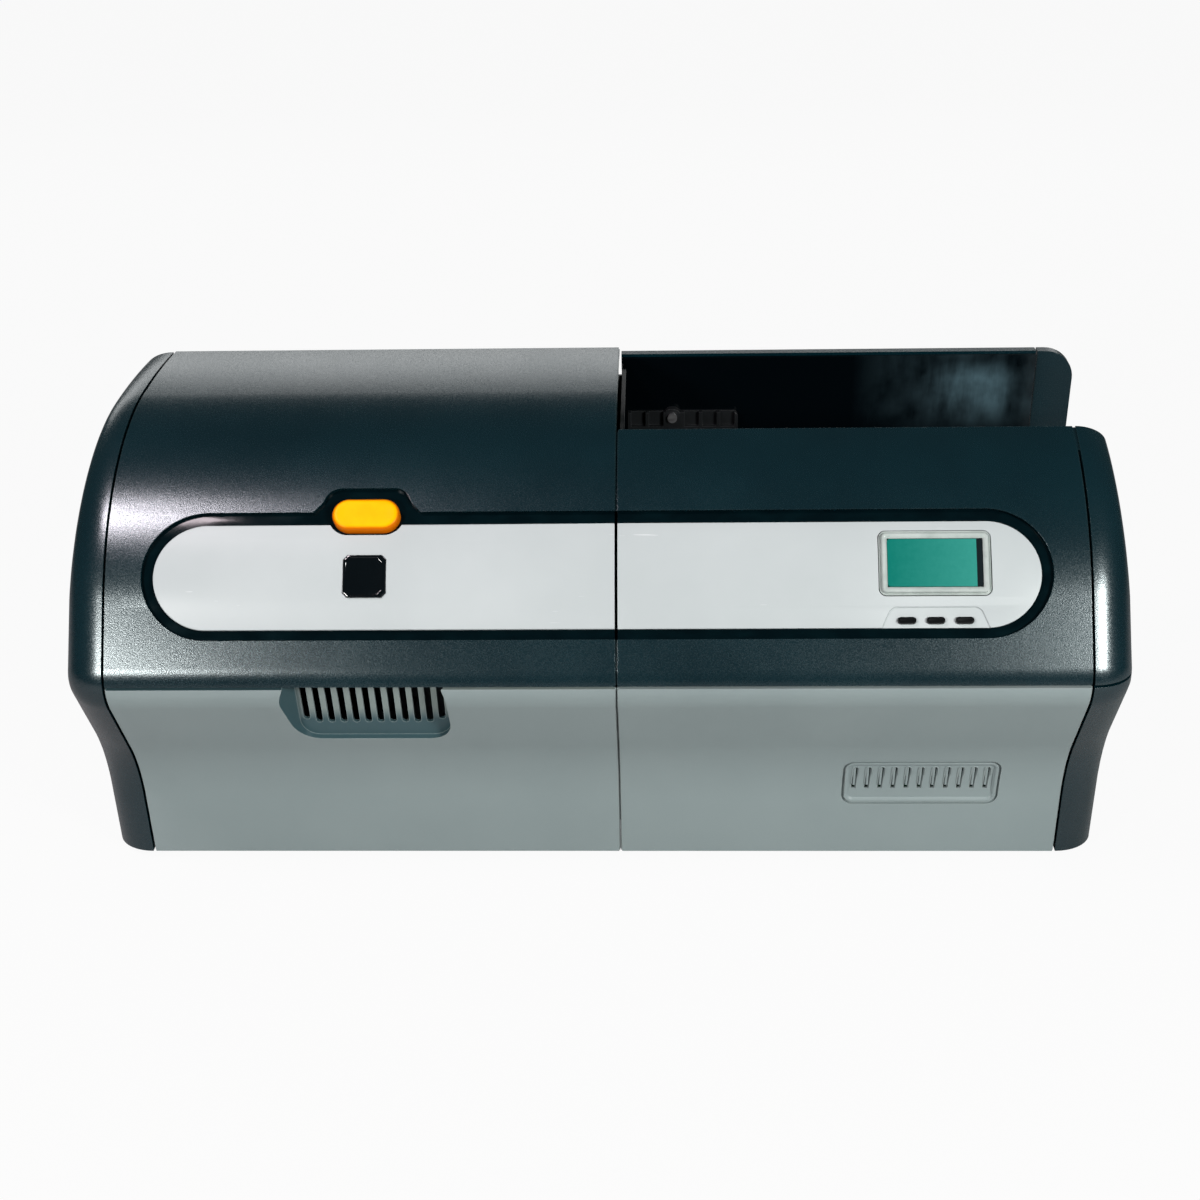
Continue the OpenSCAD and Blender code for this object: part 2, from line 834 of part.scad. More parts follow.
module display_bezel() {
    color([0.72, 0.75, 0.75]) on_band(display_x, display_v) difference() {
        union() {
            raised(bezel_foot) linear_extrude(bezel_top - bezel_foot)
                rounded(bezel_width, bezel_height, 5);
            raised(-4) linear_extrude(bezel_top + 3)
                square([opening_width - 2 * seat, opening_height - 2 * seat], center = true);
        }
        through() rounded(window_width, window_height, 2);
    }
}

module display_window() {
    color([0.2, 0.75, 0.62, 0.6]) on_band(display_x, display_v) raised(1.8)
        linear_extrude(1.2) rounded(window_width - 2 * seat, window_height - 2 * seat, 1.9);
}

module_depth = 4;

module display_module() {
    color([0.1, 0.45, 0.38]) on_band(display_x, display_v) {
        raised(-2) linear_extrude(3.6)
            square([window_width - 2, window_height - 2], center = true);
        raised(-4.2 - module_depth) linear_extrude(module_depth)
            square([window_width + 6, window_height + 6], center = true);
        raised(-4.3) linear_extrude(2.4)
            square([window_width - 6, window_height - 6], center = true);
    }
}

board_w = -4.4 - module_depth - 1.6;
// How far the display's board reaches beyond the bezel's sides, under its top and below the keys
board_side = 11;
board_under = 7;
board_below = 9.4;

module display_board() {
    low = key_v - board_below;
    high = display_v + bezel_height / 2 - board_under;
    color([0.05, 0.30, 0.16]) on_band(display_x, 0) {
        block([-bezel_width / 2 - board_side, low, board_w],
            [bezel_width / 2 + board_side, high, board_w + 1.6]);
        for (i = [-1:1]) translate([i * key_pitch - 3, key_v - 3, board_w + 1.5]) cube([6, 6, 2.5]);
    }
}

module key(i) {
    color(black) on_band(display_x + i * key_pitch, key_v) raised(key_low)
        linear_extrude(key_high - key_low) stadium(key_width, key_height);
}

key_high = 1.2;
key_low = board_w + 1.6 + 2.4 + key_travel + 0.4;

module left_key() { key(-1); }
module middle_key() { key(0); }
module right_key() { key(1); }

// ---------- latch ----------

stem_end = -20;

module latch_button() {
    color([0.98, 0.62, 0.10]) on_latch() {
        hull() {
            raised(-7) linear_extrude(7 + latch_proud - 2) stadium(latch_width, latch_height, $fn = 32);
            linear_extrude(latch_proud) stadium(latch_width - 4, latch_height - 4, $fn = 32);
        }
        translate([-4, -4, stem_end]) cube([8, 8, 14]);
    }
}

// The hook under the button: one arm meets the button's stem, the other reaches the keeper
module latch_hook() {
    y = pivot_y;
    z = pivot_z;
    x0 = latch_x - hook_width / 2;
    x1 = latch_x + hook_width / 2;
    pin = hook_width / 2 + ear_gap + ear_thickness;
    color(steel) {
        along_x(x0, x1) translate([y, z]) {
            circle(6);
            polygon([[5.9, -4], [19, 8], [17, 13.4], [-3, 5.9]]);
            polygon([[-5.5, 2], [-37, -hook_reach + 3], [-37, -hook_reach - 5], [-28, -hook_reach - 5],
                [-28, -hook_reach - 1], [-32, -hook_reach + 1], [2, -5.5]]);
        }
        cylinder_x(hook_pin_radius, latch_x - pin, latch_x + pin, y, z);
    }
}

keeper_gap = 0.6;

module latch_keeper() {
    y = pivot_y - 28 + keeper_gap;
    z = pivot_z - hook_reach;
    base_z = chin_seam_z - seam_gap / 2;
    half = hook_width / 2 + 4;
    color(steel) difference() {
        block([latch_x - half, y, base_z + 0.02], [latch_x + half, y + 8, z + 6]);
        block([latch_x - hook_width / 2 - 1, y - 1, base_z + 2], [latch_x + hook_width / 2 + 1, y + 6, z]);
    }
}

// ---------- lower panels ----------

flange_depth = 46;

// Inward flange along the top of a lower panel, and the foot that stands behind its wall
module panel_flange(x0, x1) {
    z1 = chin_seam_z - seam_gap / 2;
    intersection() {
        along_x(x0, x1) profile(shell - 0.5);
        block([x0 - 1, -far, z1 - shell], [x1 + 1, front_y + flange_depth, z1]);
    }
}

// Outline of the scoop's floor with corners of radius r; left and low are how far it is grown there
module scoop_outline(grow, left, low, r) {
    h = 80;
    w = scoop_right - scoop_left - scoop_spread + 2 * grow + left;
    translate([scoop_left + scoop_spread - left - grow + w / 2, h / 2 - low - grow]) rounded(w, h, r + grow);
}

// The plane of the scoop's floor: X to the right, Y up the floor, Z out of the panel
module on_scoop() {
    y = flare_slope_y(scoop_bottom + scoop_depth) + scoop_depth;
    translate([0, y, scoop_bottom + scoop_depth]) rotate([90 + scoop_tilt, 0, 0]) children();
}

// Place of the straight run under the chin at a height
function flare_slope_y(z) = let (
    p = chin_c + chin_radius * cos(kink) * dir(low_angle),
    d = dir(low_angle + 90))
    p[0] + d[0] * (z - p[1]) / d[1];

// The scoop's hollow, grown by the wall round it
module scoop_form(wall) {
    reach = 20;
    on_scoop() hull() {
        raised(-wall) linear_extrude(0.1) scoop_outline(wall, 0, 0, 13, $fn = 44);
        raised(reach) linear_extrude(0.1)
            scoop_outline(wall, scoop_spread, scoop_spread, 34, $fn = 44);
    }
}

module left_front_panel() {
    wall = 2.5;
    slots_x = (scoop_left + scoop_spread + scoop_right - 1.5) / 2;
    top_z = chin_seam_z - seam_gap / 2;
    color(grey) difference() {
        union() {
            lower_skin(left_x0, left_x1, 0, shell);
            lower_skin(left_x0 - seam_lip, left_x1 + seam_lip, lip_depth, shell);
            panel_flange(left_x0, left_x1);
            intersection() {
                along_x(scoop_left - 30, scoop_right + 30) profile(1);
                block([-far / 2, -far / 2, scoop_bottom - 20], [far / 2, 0, top_z]);
                scoop_form(wall);
            }
        }
        scoop_form(0);
        for (i = [0:scoop_slots - 1])
            on_scoop() translate([slots_x + (i - (scoop_slots - 1) / 2) * scoop_slot_pitch, 0, -20])
                linear_extrude(40) scoop_slot(i == 0 || i == scoop_slots - 1 ? 16.5 : 13.5);
    }
}

// A slot of the scoop that ends low above the scoop's bottom
module scoop_slot(low) {
    translate([0, low + 20]) square([scoop_slot_width, 40], center = true);
    translate([0, low]) circle(d = scoop_slot_width);
}

module right_front_panel() {
    louvre_depth = 1.3;
    x = louvre_left + louvre_length / 2;
    z = louvre_bottom + louvre_height / 2;
    color(grey) difference() {
        union() {
            lower_skin(right_x0, right_x1, 0, shell);
            lower_skin(right_x0 - seam_lip, right_x1 + seam_lip, lip_depth, shell);
            panel_flange(right_x0, right_x1);
        }
        intersection() {
            front_layer(louvre_depth);
            along_y(-far, 0) translate([x, z]) rounded(louvre_length, louvre_height, 8);
        }
        for (i = [0:louvre_count - 1])
            translate([x + (i - (louvre_count - 1) / 2) * louvre_pitch, 0, z + 3])
                translate([0, base_front_y, 0]) rotate([0, 0, louvre_turn]) block(
                    [-louvre_width / 2, -20, -louvre_slot_height / 2],
                    [louvre_width / 2, 12, louvre_slot_height / 2]);
        // Fine line round the vent
        intersection() {
            front_layer(louvre_depth + 0.5);
            along_y(-far, 0) translate([x, z]) difference() {
                rounded(louvre_length, louvre_height, 8);
                rounded(louvre_length - 3, louvre_height - 3, 6.5);
            }
        }
    }
}

// ---------- rear ----------

rear_inner = back_y - rear_wall;
rear_left = left_x0;
rear_right = side_inner;
screw_radius = 2;
screw_play = 0.15;
middle_screw_x = (rear_left + split_x) / 2 + 75;
rear_screw_z = [bottom_z + 12, well_floor_z - liner_wall - 10];
rear_screws = [for (x = [rear_left + 12, rear_right - 16, middle_screw_x], z = rear_screw_z) [x, z]];
rear_vent_z = trough_z - 44;
lock_x = rear_left + 34;
lock_z = well_floor_z - 44;

module rear_panel() {
    lip = 2.5;
    color(dark) difference() {
        union() {
            block([rear_left, rear_inner, pan_top + 0.2], [left_x1, back_y, trough_z]);
            block([left_x1 - 1, rear_inner, pan_top + 0.2], [right_x0 + 2, back_y, trough_z]);
            block([right_x0, rear_inner, pan_top + 0.2], [rear_right, back_y, rear_wall_z - 1]);
            // Light-catching top edge behind the well
            block([right_x0, back_y - rear_wall_depth, rear_wall_z - 12],
                [rear_right, back_y, rear_wall_z]);
            // Trough under the hinge, with a lip in front of it
            block([rear_left, hinge_y - 9, trough_z - lip], [left_x1, back_y, trough_z]);
            block([rear_left, hinge_y - 9 - lip, trough_z - lip], [left_x1, hinge_y - 9, hinge_z + 3]);
        }
        inlet_cut(seat);
        switch_cut(seat);
        usb_cut(seat);
        network_cut(seat);
        for (p = rear_screws) {
            cylinder_y(screw_radius + screw_play, 0, far, p[0], p[1]);
            cylinder_y(screw_head_radius + 0.4, back_y - screw_head, far, p[0], p[1]);
        }
        // Fan grille: slots in three rows
        for (i = [-4:4]) fan_slot(i);
        // Vent high on the left
        for (i = [0:11])
            block([supply_x - 14 + 9 * i, 0, rear_vent_z - 35], [supply_x - 9.5 + 9 * i, far, rear_vent_z]);
        // Lock slot
        block([lock_x, 0, lock_z], [lock_x + 7, far, lock_z + 3]);
    }
}

module fan_slot(i) {
    half = sqrt(pow(fan_size / 2 - 5, 2) - pow(8 * i, 2));
    block([fan_x + 8 * i - 2, 0, fan_z - half], [fan_x + 8 * i + 2, far, fan_z - 3]);
    block([fan_x + 8 * i - 2, 0, fan_z + 3], [fan_x + 8 * i + 2, far, fan_z + half]);
}

inlet_w = 28;
inlet_h = 22;
inlet_depth = 18;

module inlet_cut(g) {
    block([inlet_x - inlet_w / 2 - g, 0, inlet_z - inlet_h / 2 - g],
        [inlet_x + inlet_w / 2 + g, far, inlet_z + inlet_h / 2 + g]);
}

module power_inlet() {
    wall = 2;
    w = switch_w / 2 + switch_wall;
    h = switch_h / 2 + switch_wall;
    bridge_y = back_y - rear_wall - 1;
    color(black) difference() {
        union() {
            block([switch_x - w, back_y - inlet_depth, inlet_z - h], [switch_x + w, back_y, inlet_z + h]);
            block([inlet_x, back_y - inlet_depth, inlet_z - 8], [switch_x, bridge_y, inlet_z + 8]);
        }
        block([switch_x - switch_w / 2, back_y - inlet_depth + wall, inlet_z - switch_h / 2],
            [switch_x + switch_w / 2, far, inlet_z + switch_h / 2]);
        block([inlet_x - 4, 0, 0], [inlet_x + inlet_w / 2 - 1, far, far]);
        cylinder_x(rocker_pin_radius + running, switch_x - w - 1, switch_x + w + 1, rocker_y - 3, inlet_z);
    }
    color(black) difference() {
        block([inlet_x - inlet_w / 2, back_y - inlet_depth, inlet_z - inlet_h / 2],
            [inlet_x + inlet_w / 2, back_y, inlet_z + inlet_h / 2]);
        difference() {
            block([inlet_x - inlet_w / 2 + wall, back_y - inlet_depth + wall, inlet_z - inlet_h / 2 + wall],
                [inlet_x + inlet_w / 2 - wall, far, inlet_z + inlet_h / 2 - wall]);
            for (i = [-1:1])
                block([inlet_x + 7 * i - 1, 0, inlet_z + (i == 0 ? 1.5 : -4.5)],
                    [inlet_x + 7 * i + 1, back_y - 3, inlet_z + (i == 0 ? 6.5 : 0.5)]);
        }
    }
}

switch_w = 14;
switch_h = 21;
rocker_tilt = 10;
switch_wall = 1.8;
rocker_pin_radius = 1.5;

// Housing of the switch, grown all round by a distance
module switch_cut(g) {
    w = switch_w / 2 + switch_wall + g;
    h = switch_h / 2 + switch_wall + g;
    block([switch_x - w, 0, inlet_z - h], [switch_x + w, far, inlet_z + h]);
}

// The rocker turns about an axis along X just inside the panel
module power_rocker() {
    y = rocker_y;
    w = switch_w / 2 + switch_wall;
    color(black) {
        translate([switch_x, y - 3, inlet_z]) rotate([rocker_tilt, 0, 0])
            along_x(-switch_w / 2 + 0.4, switch_w / 2 - 0.4)
                polygon([[-3, -5], [4, -9], [4.8, -8.6], [4, 0], [4.8, 8.6], [4, 9], [-3, 5]]);
        cylinder_x(rocker_pin_radius, switch_x - w + 0.4, switch_x + w - 0.4, y - 3, inlet_z);
    }
}

rocker_y = back_y - 3.6;

usb_w = 12;
usb_h = 11;
network_w = 16;
network_h = 13.5;
port_depth = 16;
ports_z = pan_top + 8 + 1.6;
network_x = ports_x + 32;

module usb_cut(g) {
    block([ports_x - usb_w / 2 - g, 0, ports_z - g], [ports_x + usb_w / 2 + g, far, ports_z + usb_h + g]);
}

module network_cut(g) {
    block([network_x - network_w / 2 - g, 0, ports_z - g],
        [network_x + network_w / 2 + g, far, ports_z + network_h + g]);
}

module usb_port() {
    color(steel) difference() {
        block([ports_x - usb_w / 2, back_y - port_depth, ports_z],
            [ports_x + usb_w / 2, back_y, ports_z + usb_h]);
        difference() {
            block([ports_x - usb_w / 2 + 1, back_y - port_depth + 2, ports_z + 1],
                [ports_x + usb_w / 2 - 1, far, ports_z + usb_h - 1]);
            block([ports_x - 2.8, 0, ports_z + 6.4], [ports_x + 2.8, back_y - 1.5, ports_z + 8.4]);
        }
    }
}

module network_port() {
    color(steel) difference() {
        block([network_x - network_w / 2, back_y - port_depth, ports_z],
            [network_x + network_w / 2, back_y, ports_z + network_h]);
        block([network_x - 6, back_y - port_depth + 3, ports_z + 3], [network_x + 6, far, ports_z + 10]);
        block([network_x - 3, back_y - port_depth + 3, ports_z + 1.5], [network_x + 3, far, ports_z + 4]);
    }
}

module screws() {
    color(steel) {
        for (p = rear_screws) {
            cylinder_y(screw_radius, back_y - 11, back_y - 1, p[0], p[1]);
            cylinder_y(screw_head_radius, back_y - screw_head + 0.05, back_y - 0.15, p[0], p[1]);
        }
        cylinder_y(screw_radius, guide_front - 1, guide_front + guide_depth + 6,
            guide_screw_x, guide_screw_z);
        cylinder_y(screw_head_radius, guide_front - 2.4, guide_front - 0.02, guide_screw_x, guide_screw_z);
    }
}

screw_head = 1.7;
screw_head_radius = 3.6;
guide_screw_x = liner_x0 + liner_wall + 34.5;
guide_screw_z = guide_top_z - 4;

// ---------- well ----------

module well_liner() {
    z1 = rear_wall_z - 2;
    x1 = side_inner;
    slot_z = path_z - 3;
    color(gloss_black) difference() {
        union() {
            block([liner_x0, liner_front, well_floor_z - liner_wall], [x1, liner_back, well_floor_z]);
            block([liner_x0, liner_back - liner_wall, well_floor_z - 1], [x1, liner_back, z1]);
            block([liner_x0, liner_front, well_floor_z - 1], [x1, liner_front + liner_wall, z1 - 4]);
            block([liner_x0, liner_front, well_floor_z - 1], [liner_x0 + liner_wall, liner_back, z1 - 4]);
            block([x1 - liner_wall, liner_front, well_floor_z - 1],
                [x1, liner_back, chin_seam_z - seam_gap / 2]);
        }
        block([liner_x0 - 1, path_y - card_width / 2 - 2, slot_z],
            [liner_x0 + liner_wall + 1, path_y + card_width / 2 + 2, slot_z + 7]);
        cylinder_y(screw_radius + screw_play, 0, far, guide_screw_x, guide_screw_z);
    }
}

guide_x0 = liner_x0 + liner_wall + 0.5;

module card_guide() {
    wall = 2.5;
    cells = 6;
    cell = (guide_width - wall) / cells;
    color(black) difference() {
        union() {
            block([guide_x0, guide_front, well_floor_z],
                [guide_x0 + guide_width, guide_front + guide_depth, guide_top_z - 4]);
            block([guide_x0, guide_front, guide_top_z - 5],
                [guide_x0 + guide_width - 4, guide_front + guide_depth, guide_top_z]);
            cylinder_y(4, guide_front, guide_front + guide_depth,
                guide_x0 + guide_width - 4, guide_top_z - 4);
            cylinder_y(7, guide_front, guide_front + guide_depth, guide_screw_x, guide_screw_z);
        }
        // Square pockets in rows, left closed round the screw
        for (i = [0:cells - 1], row = [0:5]) if (!(i == 2 && row == 5))
            block([guide_x0 + wall + i * cell, guide_front - 1, well_floor_z + wall + row * 20],
                [guide_x0 + (i + 1) * cell, guide_front + guide_depth - wall, well_floor_z + row * 20 + 17]);
        cylinder_y(screw_radius + screw_play, 0, far, guide_screw_x, guide_screw_z);
    }
}

module catch_tray() {
    x0 = guide_x0;
    wall = 2;
    landing = 30;
    x1 = x0 + card_length + card_play + 2 * wall + landing;
    y0 = path_y - (card_width + card_play) / 2 - wall;
    y1 = path_y + (card_width + card_play) / 2 + wall;
    z = well_floor_z;
    color(black) difference() {
        block([x0, y0, z], [x1, y1, z + tray_height]);
        block([x0 + wall, y0 + wall, z + wall], [x1 - wall, y1 - wall, far]);
        block([x1 - 20, y0 + 14, z + wall], [far, y1 - 14, far]);
        block([x0 + 30, -far, z + wall], [x0 + 62, y0 + wall + 1, far]);
    }
}

// ---------- base, frame and card path ----------

module base_pan() {
    y0 = base_front_y + shell;
    y1 = rear_inner - 0.2;
    flange = 26;
    color(steel) difference() {
        union() {
            block([left_x0, y0, bottom_z], [side_inner - 2, y1, pan_top]);
            block([left_x0, y0, bottom_z], [left_x0 + pan, y1, bottom_z + flange]);
            block([side_inner - 2 - pan, y0, bottom_z], [side_inner - 2, y1, bottom_z + flange]);
            block([left_x0, y0, bottom_z], [side_inner - 2, y0 + pan, bottom_z + flange]);
            block([left_x0, y1 - pan, bottom_z], [inlet_x - inlet_w / 2 - 6, y1, bottom_z + flange]);
            block([side_inner - 22, y1 - pan, bottom_z], [side_inner - 2, y1, bottom_z + flange]);
            block([middle_screw_x - 20, y1 - pan, bottom_z], [middle_screw_x + 20, y1, bottom_z + flange]);
        }
        for (p = rear_screws) cylinder_y(screw_radius + screw_play, 0, far, p[0], p[1]);
        for (i = [0:9]) block(
            [supply_unit_x + 60 + 12 * i, supply_front + 20, 0],
            [supply_unit_x + 64 + 12 * i, supply_back - 10, far]);
    }
}

foot_x = half_width - 70;
foot_ys = [base_front_y + 26, back_y - 34];

module feet() {
    color(rubber) for (x = [-foot_x, foot_x], y = foot_ys) translate([x, y, 0])
        cylinder(r = foot_radius, h = foot_height);
}

shafts = [pick_x, feed_x, print_x, exit_x];
lever_x = print_x - 35;
lever_z = path_z + 26;

module frame_holes() {
    for (x = shafts) cylinder_y(shaft_radius + running, 0, far, x, roller_z);
    cylinder_y(shaft_radius + running, 0, far, cleaner_x, cleaner_z);
    for (x = [supply_x, takeup_x]) cylinder_y(spindle_radius + running, 0, far, x, spool_z);
    cylinder_y(shaft_radius + running, 0, far, lever_x, lever_z);
    for (p = rod_places) cylinder_y(rod_radius + running, 0, far, p[0], p[1]);
}

cleaner_z = path_z + 0.8 + cleaner_radius + 0.3;
spindle_radius = 4;
rod_radius = 4;
low_rod_z = pan_top + 32;
high_rod_z = roller_z - 31;
rod_places = [[plate_x0 + 20, low_rod_z], [plate_x1 - 20, low_rod_z], [plate_x1 - 20, high_rod_z],
    [plate_x0 + 20, high_rod_z], [print_x, spool_z + 12]];
window_low = pan_top + 52;
window_high = roller_z - 51;

// A frame plate: tall over the print engine, low beside the card magazine
module frame_outline() {
    polygon([[plate_x0, pan_top], [plate_x1, pan_top],
        [plate_x1, plate_top_z], [magazine_x1 + 4, plate_top_z],
        [magazine_x1 + 4, path_z + 20], [plate_x0, path_z + 20]]);
}

// Windows that lighten the plates on both sides of the motor
module frame_windows() {
    block([exit_x - 30, 0, window_low], [exit_x + 20, far, window_high]);
    block([plate_x0 + 22, 0, window_low], [print_x - motor_size / 2 - 40, far, window_high]);
}

module front_frame_plate() {
    color(steel) difference() {
        union() {
            along_y(front_plate_y - plate, front_plate_y) frame_outline();
            block([plate_x0, front_plate_y - 14, pan_top], [plate_x1, front_plate_y, pan_top + plate]);
        }
        frame_holes();
        frame_windows();
    }
}

module rear_frame_plate() {
    color(steel) difference() {
        union() {
            along_y(rear_plate_y, rear_plate_y + plate) frame_outline();
            block([plate_x0, rear_plate_y - 12, pan_top], [plate_x1, rear_plate_y, pan_top + plate]);
        }
        frame_holes();
        cylinder_y(11.2, 0, far, print_x, motor_z);
        frame_windows();
    }
}

module tie_rods() {
    color(steel) for (p = rod_places) {
        cylinder_y(rod_radius, front_plate_y - plate - 1.5, rear_plate_y + plate + 1, p[0], p[1]);
        cylinder_y(rod_radius + 2.5, front_plate_y + 0.05, rear_plate_y - 0.05, p[0], p[1]);
    }
}

sleeve_y0 = path_y - card_width / 2 - 1;
sleeve_y1 = path_y + card_width / 2 + 1;
shaft_y0 = front_plate_y - plate - 2;

// A driven roller: steel shaft, rubber sleeve and belt pulley
module driven_roller(x) {
    cylinder_y(shaft_radius, shaft_y0, pulleys_y + pulley_width, x, roller_z);
    cylinder_y(roller_radius - 0.1, sleeve_y0, sleeve_y1, x, roller_z);
    cylinder_y(pulley_radius, pulleys_y, pulleys_y + pulley_width, x, roller_z);
}

module pick_roller() { color(rubber) driven_roller(pick_x); }
module feed_roller() { color(rubber) driven_roller(feed_x); }
module exit_roller() { color(rubber) driven_roller(exit_x); }

module platen_roller() {
    color(rubber) {
        cylinder_y(shaft_radius, shaft_y0, pulleys_y + pulley_width, print_x, roller_z);
        cylinder_y(roller_radius - 0.1, sleeve_y0, sleeve_y1, print_x, roller_z);
    }
}

// A gear's outline; backlash lies in the tooth's width
module gear_outline(teeth) {
    root = gear_module * (teeth / 2 - 1.3);
    tip = gear_module * (teeth / 2 + 0.8);
    pitch = gear_module * teeth / 2;
    step = 90 / teeth;
    polygon([for (i = [0:teeth - 1]) each [
        root * dir(4 * step * i - 1.5 * step),
        pitch * dir(4 * step * i - 0.84 * step),
        tip * dir(4 * step * i - 0.36 * step),
        tip * dir(4 * step * i + 0.36 * step),
        pitch * dir(4 * step * i + 0.84 * step),
        root * dir(4 * step * i + 1.5 * step),
    ]]);
}

module platen_gear() {
    color([0.85, 0.84, 0.80]) difference() {
        union() {
            along_y(gears_y, gears_y + gear_width) translate([print_x, roller_z]) gear_outline(platen_teeth);
            cylinder_y(pulley_radius, gears_y + gear_width - 1, pulleys_y + pulley_width, print_x, roller_z);
        }
        cylinder_y(shaft_radius + 0.01, 0, far, print_x, roller_z);
    }
}

motor_shaft_radius = 2.5;

module motor_pinion() {
    color([0.85, 0.84, 0.80]) {
        along_y(gears_y, gears_y + gear_width) translate([print_x, motor_z])
            rotate(180 / pinion_teeth) gear_outline(pinion_teeth);
        cylinder_y(motor_shaft_radius, rear_plate_y - 8, gears_y + gear_width + 1, print_x, motor_z);
    }
}

module drive_motor() {
    half = motor_size / 2;
    color(black) difference() {
        union() {
            block([print_x - half, rear_plate_y - motor_length, motor_z - half],
                [print_x + half, rear_plate_y - 0.05, motor_z + half]);
            cylinder_y(11, rear_plate_y - 1, rear_plate_y + plate, print_x, motor_z);
        }
        cylinder_y(motor_shaft_radius + running, rear_plate_y - 9, far, print_x, motor_z);
    }
}

belt_play = 0.3;

module belt_loop(r) {
    translate([(pick_x + exit_x) / 2, roller_z]) stadium(exit_x - pick_x + 2 * r, 2 * r);
}

module drive_belt() {
    inner = pulley_radius + belt_play;
    color(rubber) along_y(pulleys_y + 0.5, pulleys_y + pulley_width - 0.5) difference() {
        belt_loop(inner + belt_thickness);
        belt_loop(inner);
    }
}

module cleaning_roller() {
    color([0.75, 0.55, 0.25]) {
        cylinder_y(shaft_radius, shaft_y0, rear_plate_y + plate + 1, cleaner_x, cleaner_z);
        cylinder_y(cleaner_radius, sleeve_y0, sleeve_y1, cleaner_x, cleaner_z);
    }
}

module spindle(x) {
    flange = 1.2;
    cylinder_y(spindle_radius, shaft_y0, rear_plate_y + plate + 1.2, x, spool_z);
    for (y = [path_y - ribbon_width / 2 - flange - 0.3, path_y + ribbon_width / 2 + 0.3])
        cylinder_y(spindle_radius + 6, y, y + flange, x, spool_z);
}

module supply_spindle() { color([0.85, 0.84, 0.80]) spindle(supply_x); }
module takeup_spindle() { color([0.85, 0.84, 0.80]) spindle(takeup_x); }

module ribbon_roll(x, r) {
    difference() {
        cylinder_y(r, path_y - ribbon_width / 2, path_y + ribbon_width / 2, x, spool_z);
        cylinder_y(spindle_radius + running, 0, far, x, spool_z);
    }
}

module supply_roll() { color([0.10, 0.10, 0.30]) ribbon_roll(supply_x, supply_radius); }
module takeup_roll() { color([0.25, 0.10, 0.15]) ribbon_roll(takeup_x, takeup_radius); }

head_half = card_width / 2 + 1;

// The head's carriage: two arms and a bridge on the lever's shaft
module head_carriage() {
    top = lever_z + 2;
    color(steel) {
        difference() {
            union() {
                for (s = [-1, 1]) {
                    y = path_y + s * (head_half + 1.6);
                    cylinder_y(6, y - 1, y + 1, lever_x, lever_z);
                    block([lever_x, y - 1, lever_z - 6 * cos(kink)], [print_x + 8, y + 1, top]);
                }
                block([print_x - 8, path_y - head_half - 2, top - 2],
                    [print_x + 8, path_y + head_half + 2, top]);
            }
            cylinder_y(shaft_radius + running, 0, far, lever_x, lever_z);
        }
    }
}

module printhead() {
    z0 = path_z + 0.8 + 0.6;
    z1 = lever_z - 0.05;
    color([0.80, 0.80, 0.82]) {
        difference() {
            block([print_x - 7, path_y - head_half + 0.2, z0 + 3],
                [print_x + 7, path_y + head_half - 0.2, z1]);
            for (i = [-1:1]) block([print_x + 4 * i - 1, 0, z0 + 9], [print_x + 4 * i + 1, far, z1 - 3]);
        }
        block([print_x - 2.5, path_y - head_half + 0.2, z0],
            [print_x + 2.5, path_y + head_half - 0.2, z0 + 3.1]);
    }
}

// The lever that raises the head, with its shaft through both plates
module head_lever() {
    y1 = front_plate_y - plate - 0.5;
    y0 = y1 - 6;
    color([0.15, 0.55, 0.30]) {
        cylinder_y(shaft_radius, y0, rear_plate_y + plate + 1, lever_x, lever_z);
        cylinder_y(7, y0, y1, lever_x, lever_z);
        translate([lever_x, 0, lever_z]) rotate([0, -60, 0]) block([0, y0, -4], [44, y1, 4]);
        translate([lever_x, 0, lever_z]) rotate([0, -60, 0]) block([32, y0 - 12, -4], [44, y1, 4]);
    }
}

module card_magazine() {
    z0 = path_z - 4;
    z1 = path_z + magazine_height;
    w = magazine_wall;
    h = magazine_half;
    color(black) difference() {
        block([magazine_x0, path_y - h, z0], [magazine_x1, path_y + h, z1]);
        block([magazine_x0 + w, path_y - h + w, path_z - 1], [magazine_x1 - w, path_y + h - w, far]);
        // Way for the pick roller, the card's way out and the finger cut at the front
        block([pick_x - 11, sleeve_y0 - 0.6, 0], [pick_x + 11, sleeve_y1 + 0.6, path_z]);
        block([magazine_x1 - w - 1, path_y - h + w, path_z - 1], [far / 2, path_y + h - w, path_z + 1.2]);
        block([magazine_x0 + 30, -far, path_z + 12], [magazine_x1 - 30, path_y - h + w + 0.1, far]);
    }
}

module card_weight() {
    w = magazine_wall + 0.8;
    z = path_z + 0.2;
    y0 = path_y - magazine_half + w;
    y1 = path_y + magazine_half - w;
    x0 = magazine_x0 + w;
    x1 = magazine_x1 - w;
    color(steel) {
        block([x0, y0, z], [x1, y1, z + 6]);
        difference() {
            block([x0 + 32, y0, z + 5.9], [x1 - 32, y0 + 8, z + 24]);
            block([-far, y0 - 1, z + 12], [far, y0 + 5, z + 18]);
        }
    }
}

// ---------- electronics and fan ----------

supply_unit_x = left_x0 + 24.5;
supply_front = base_front_y + 17.5;
supply_back = front_plate_y - 21;

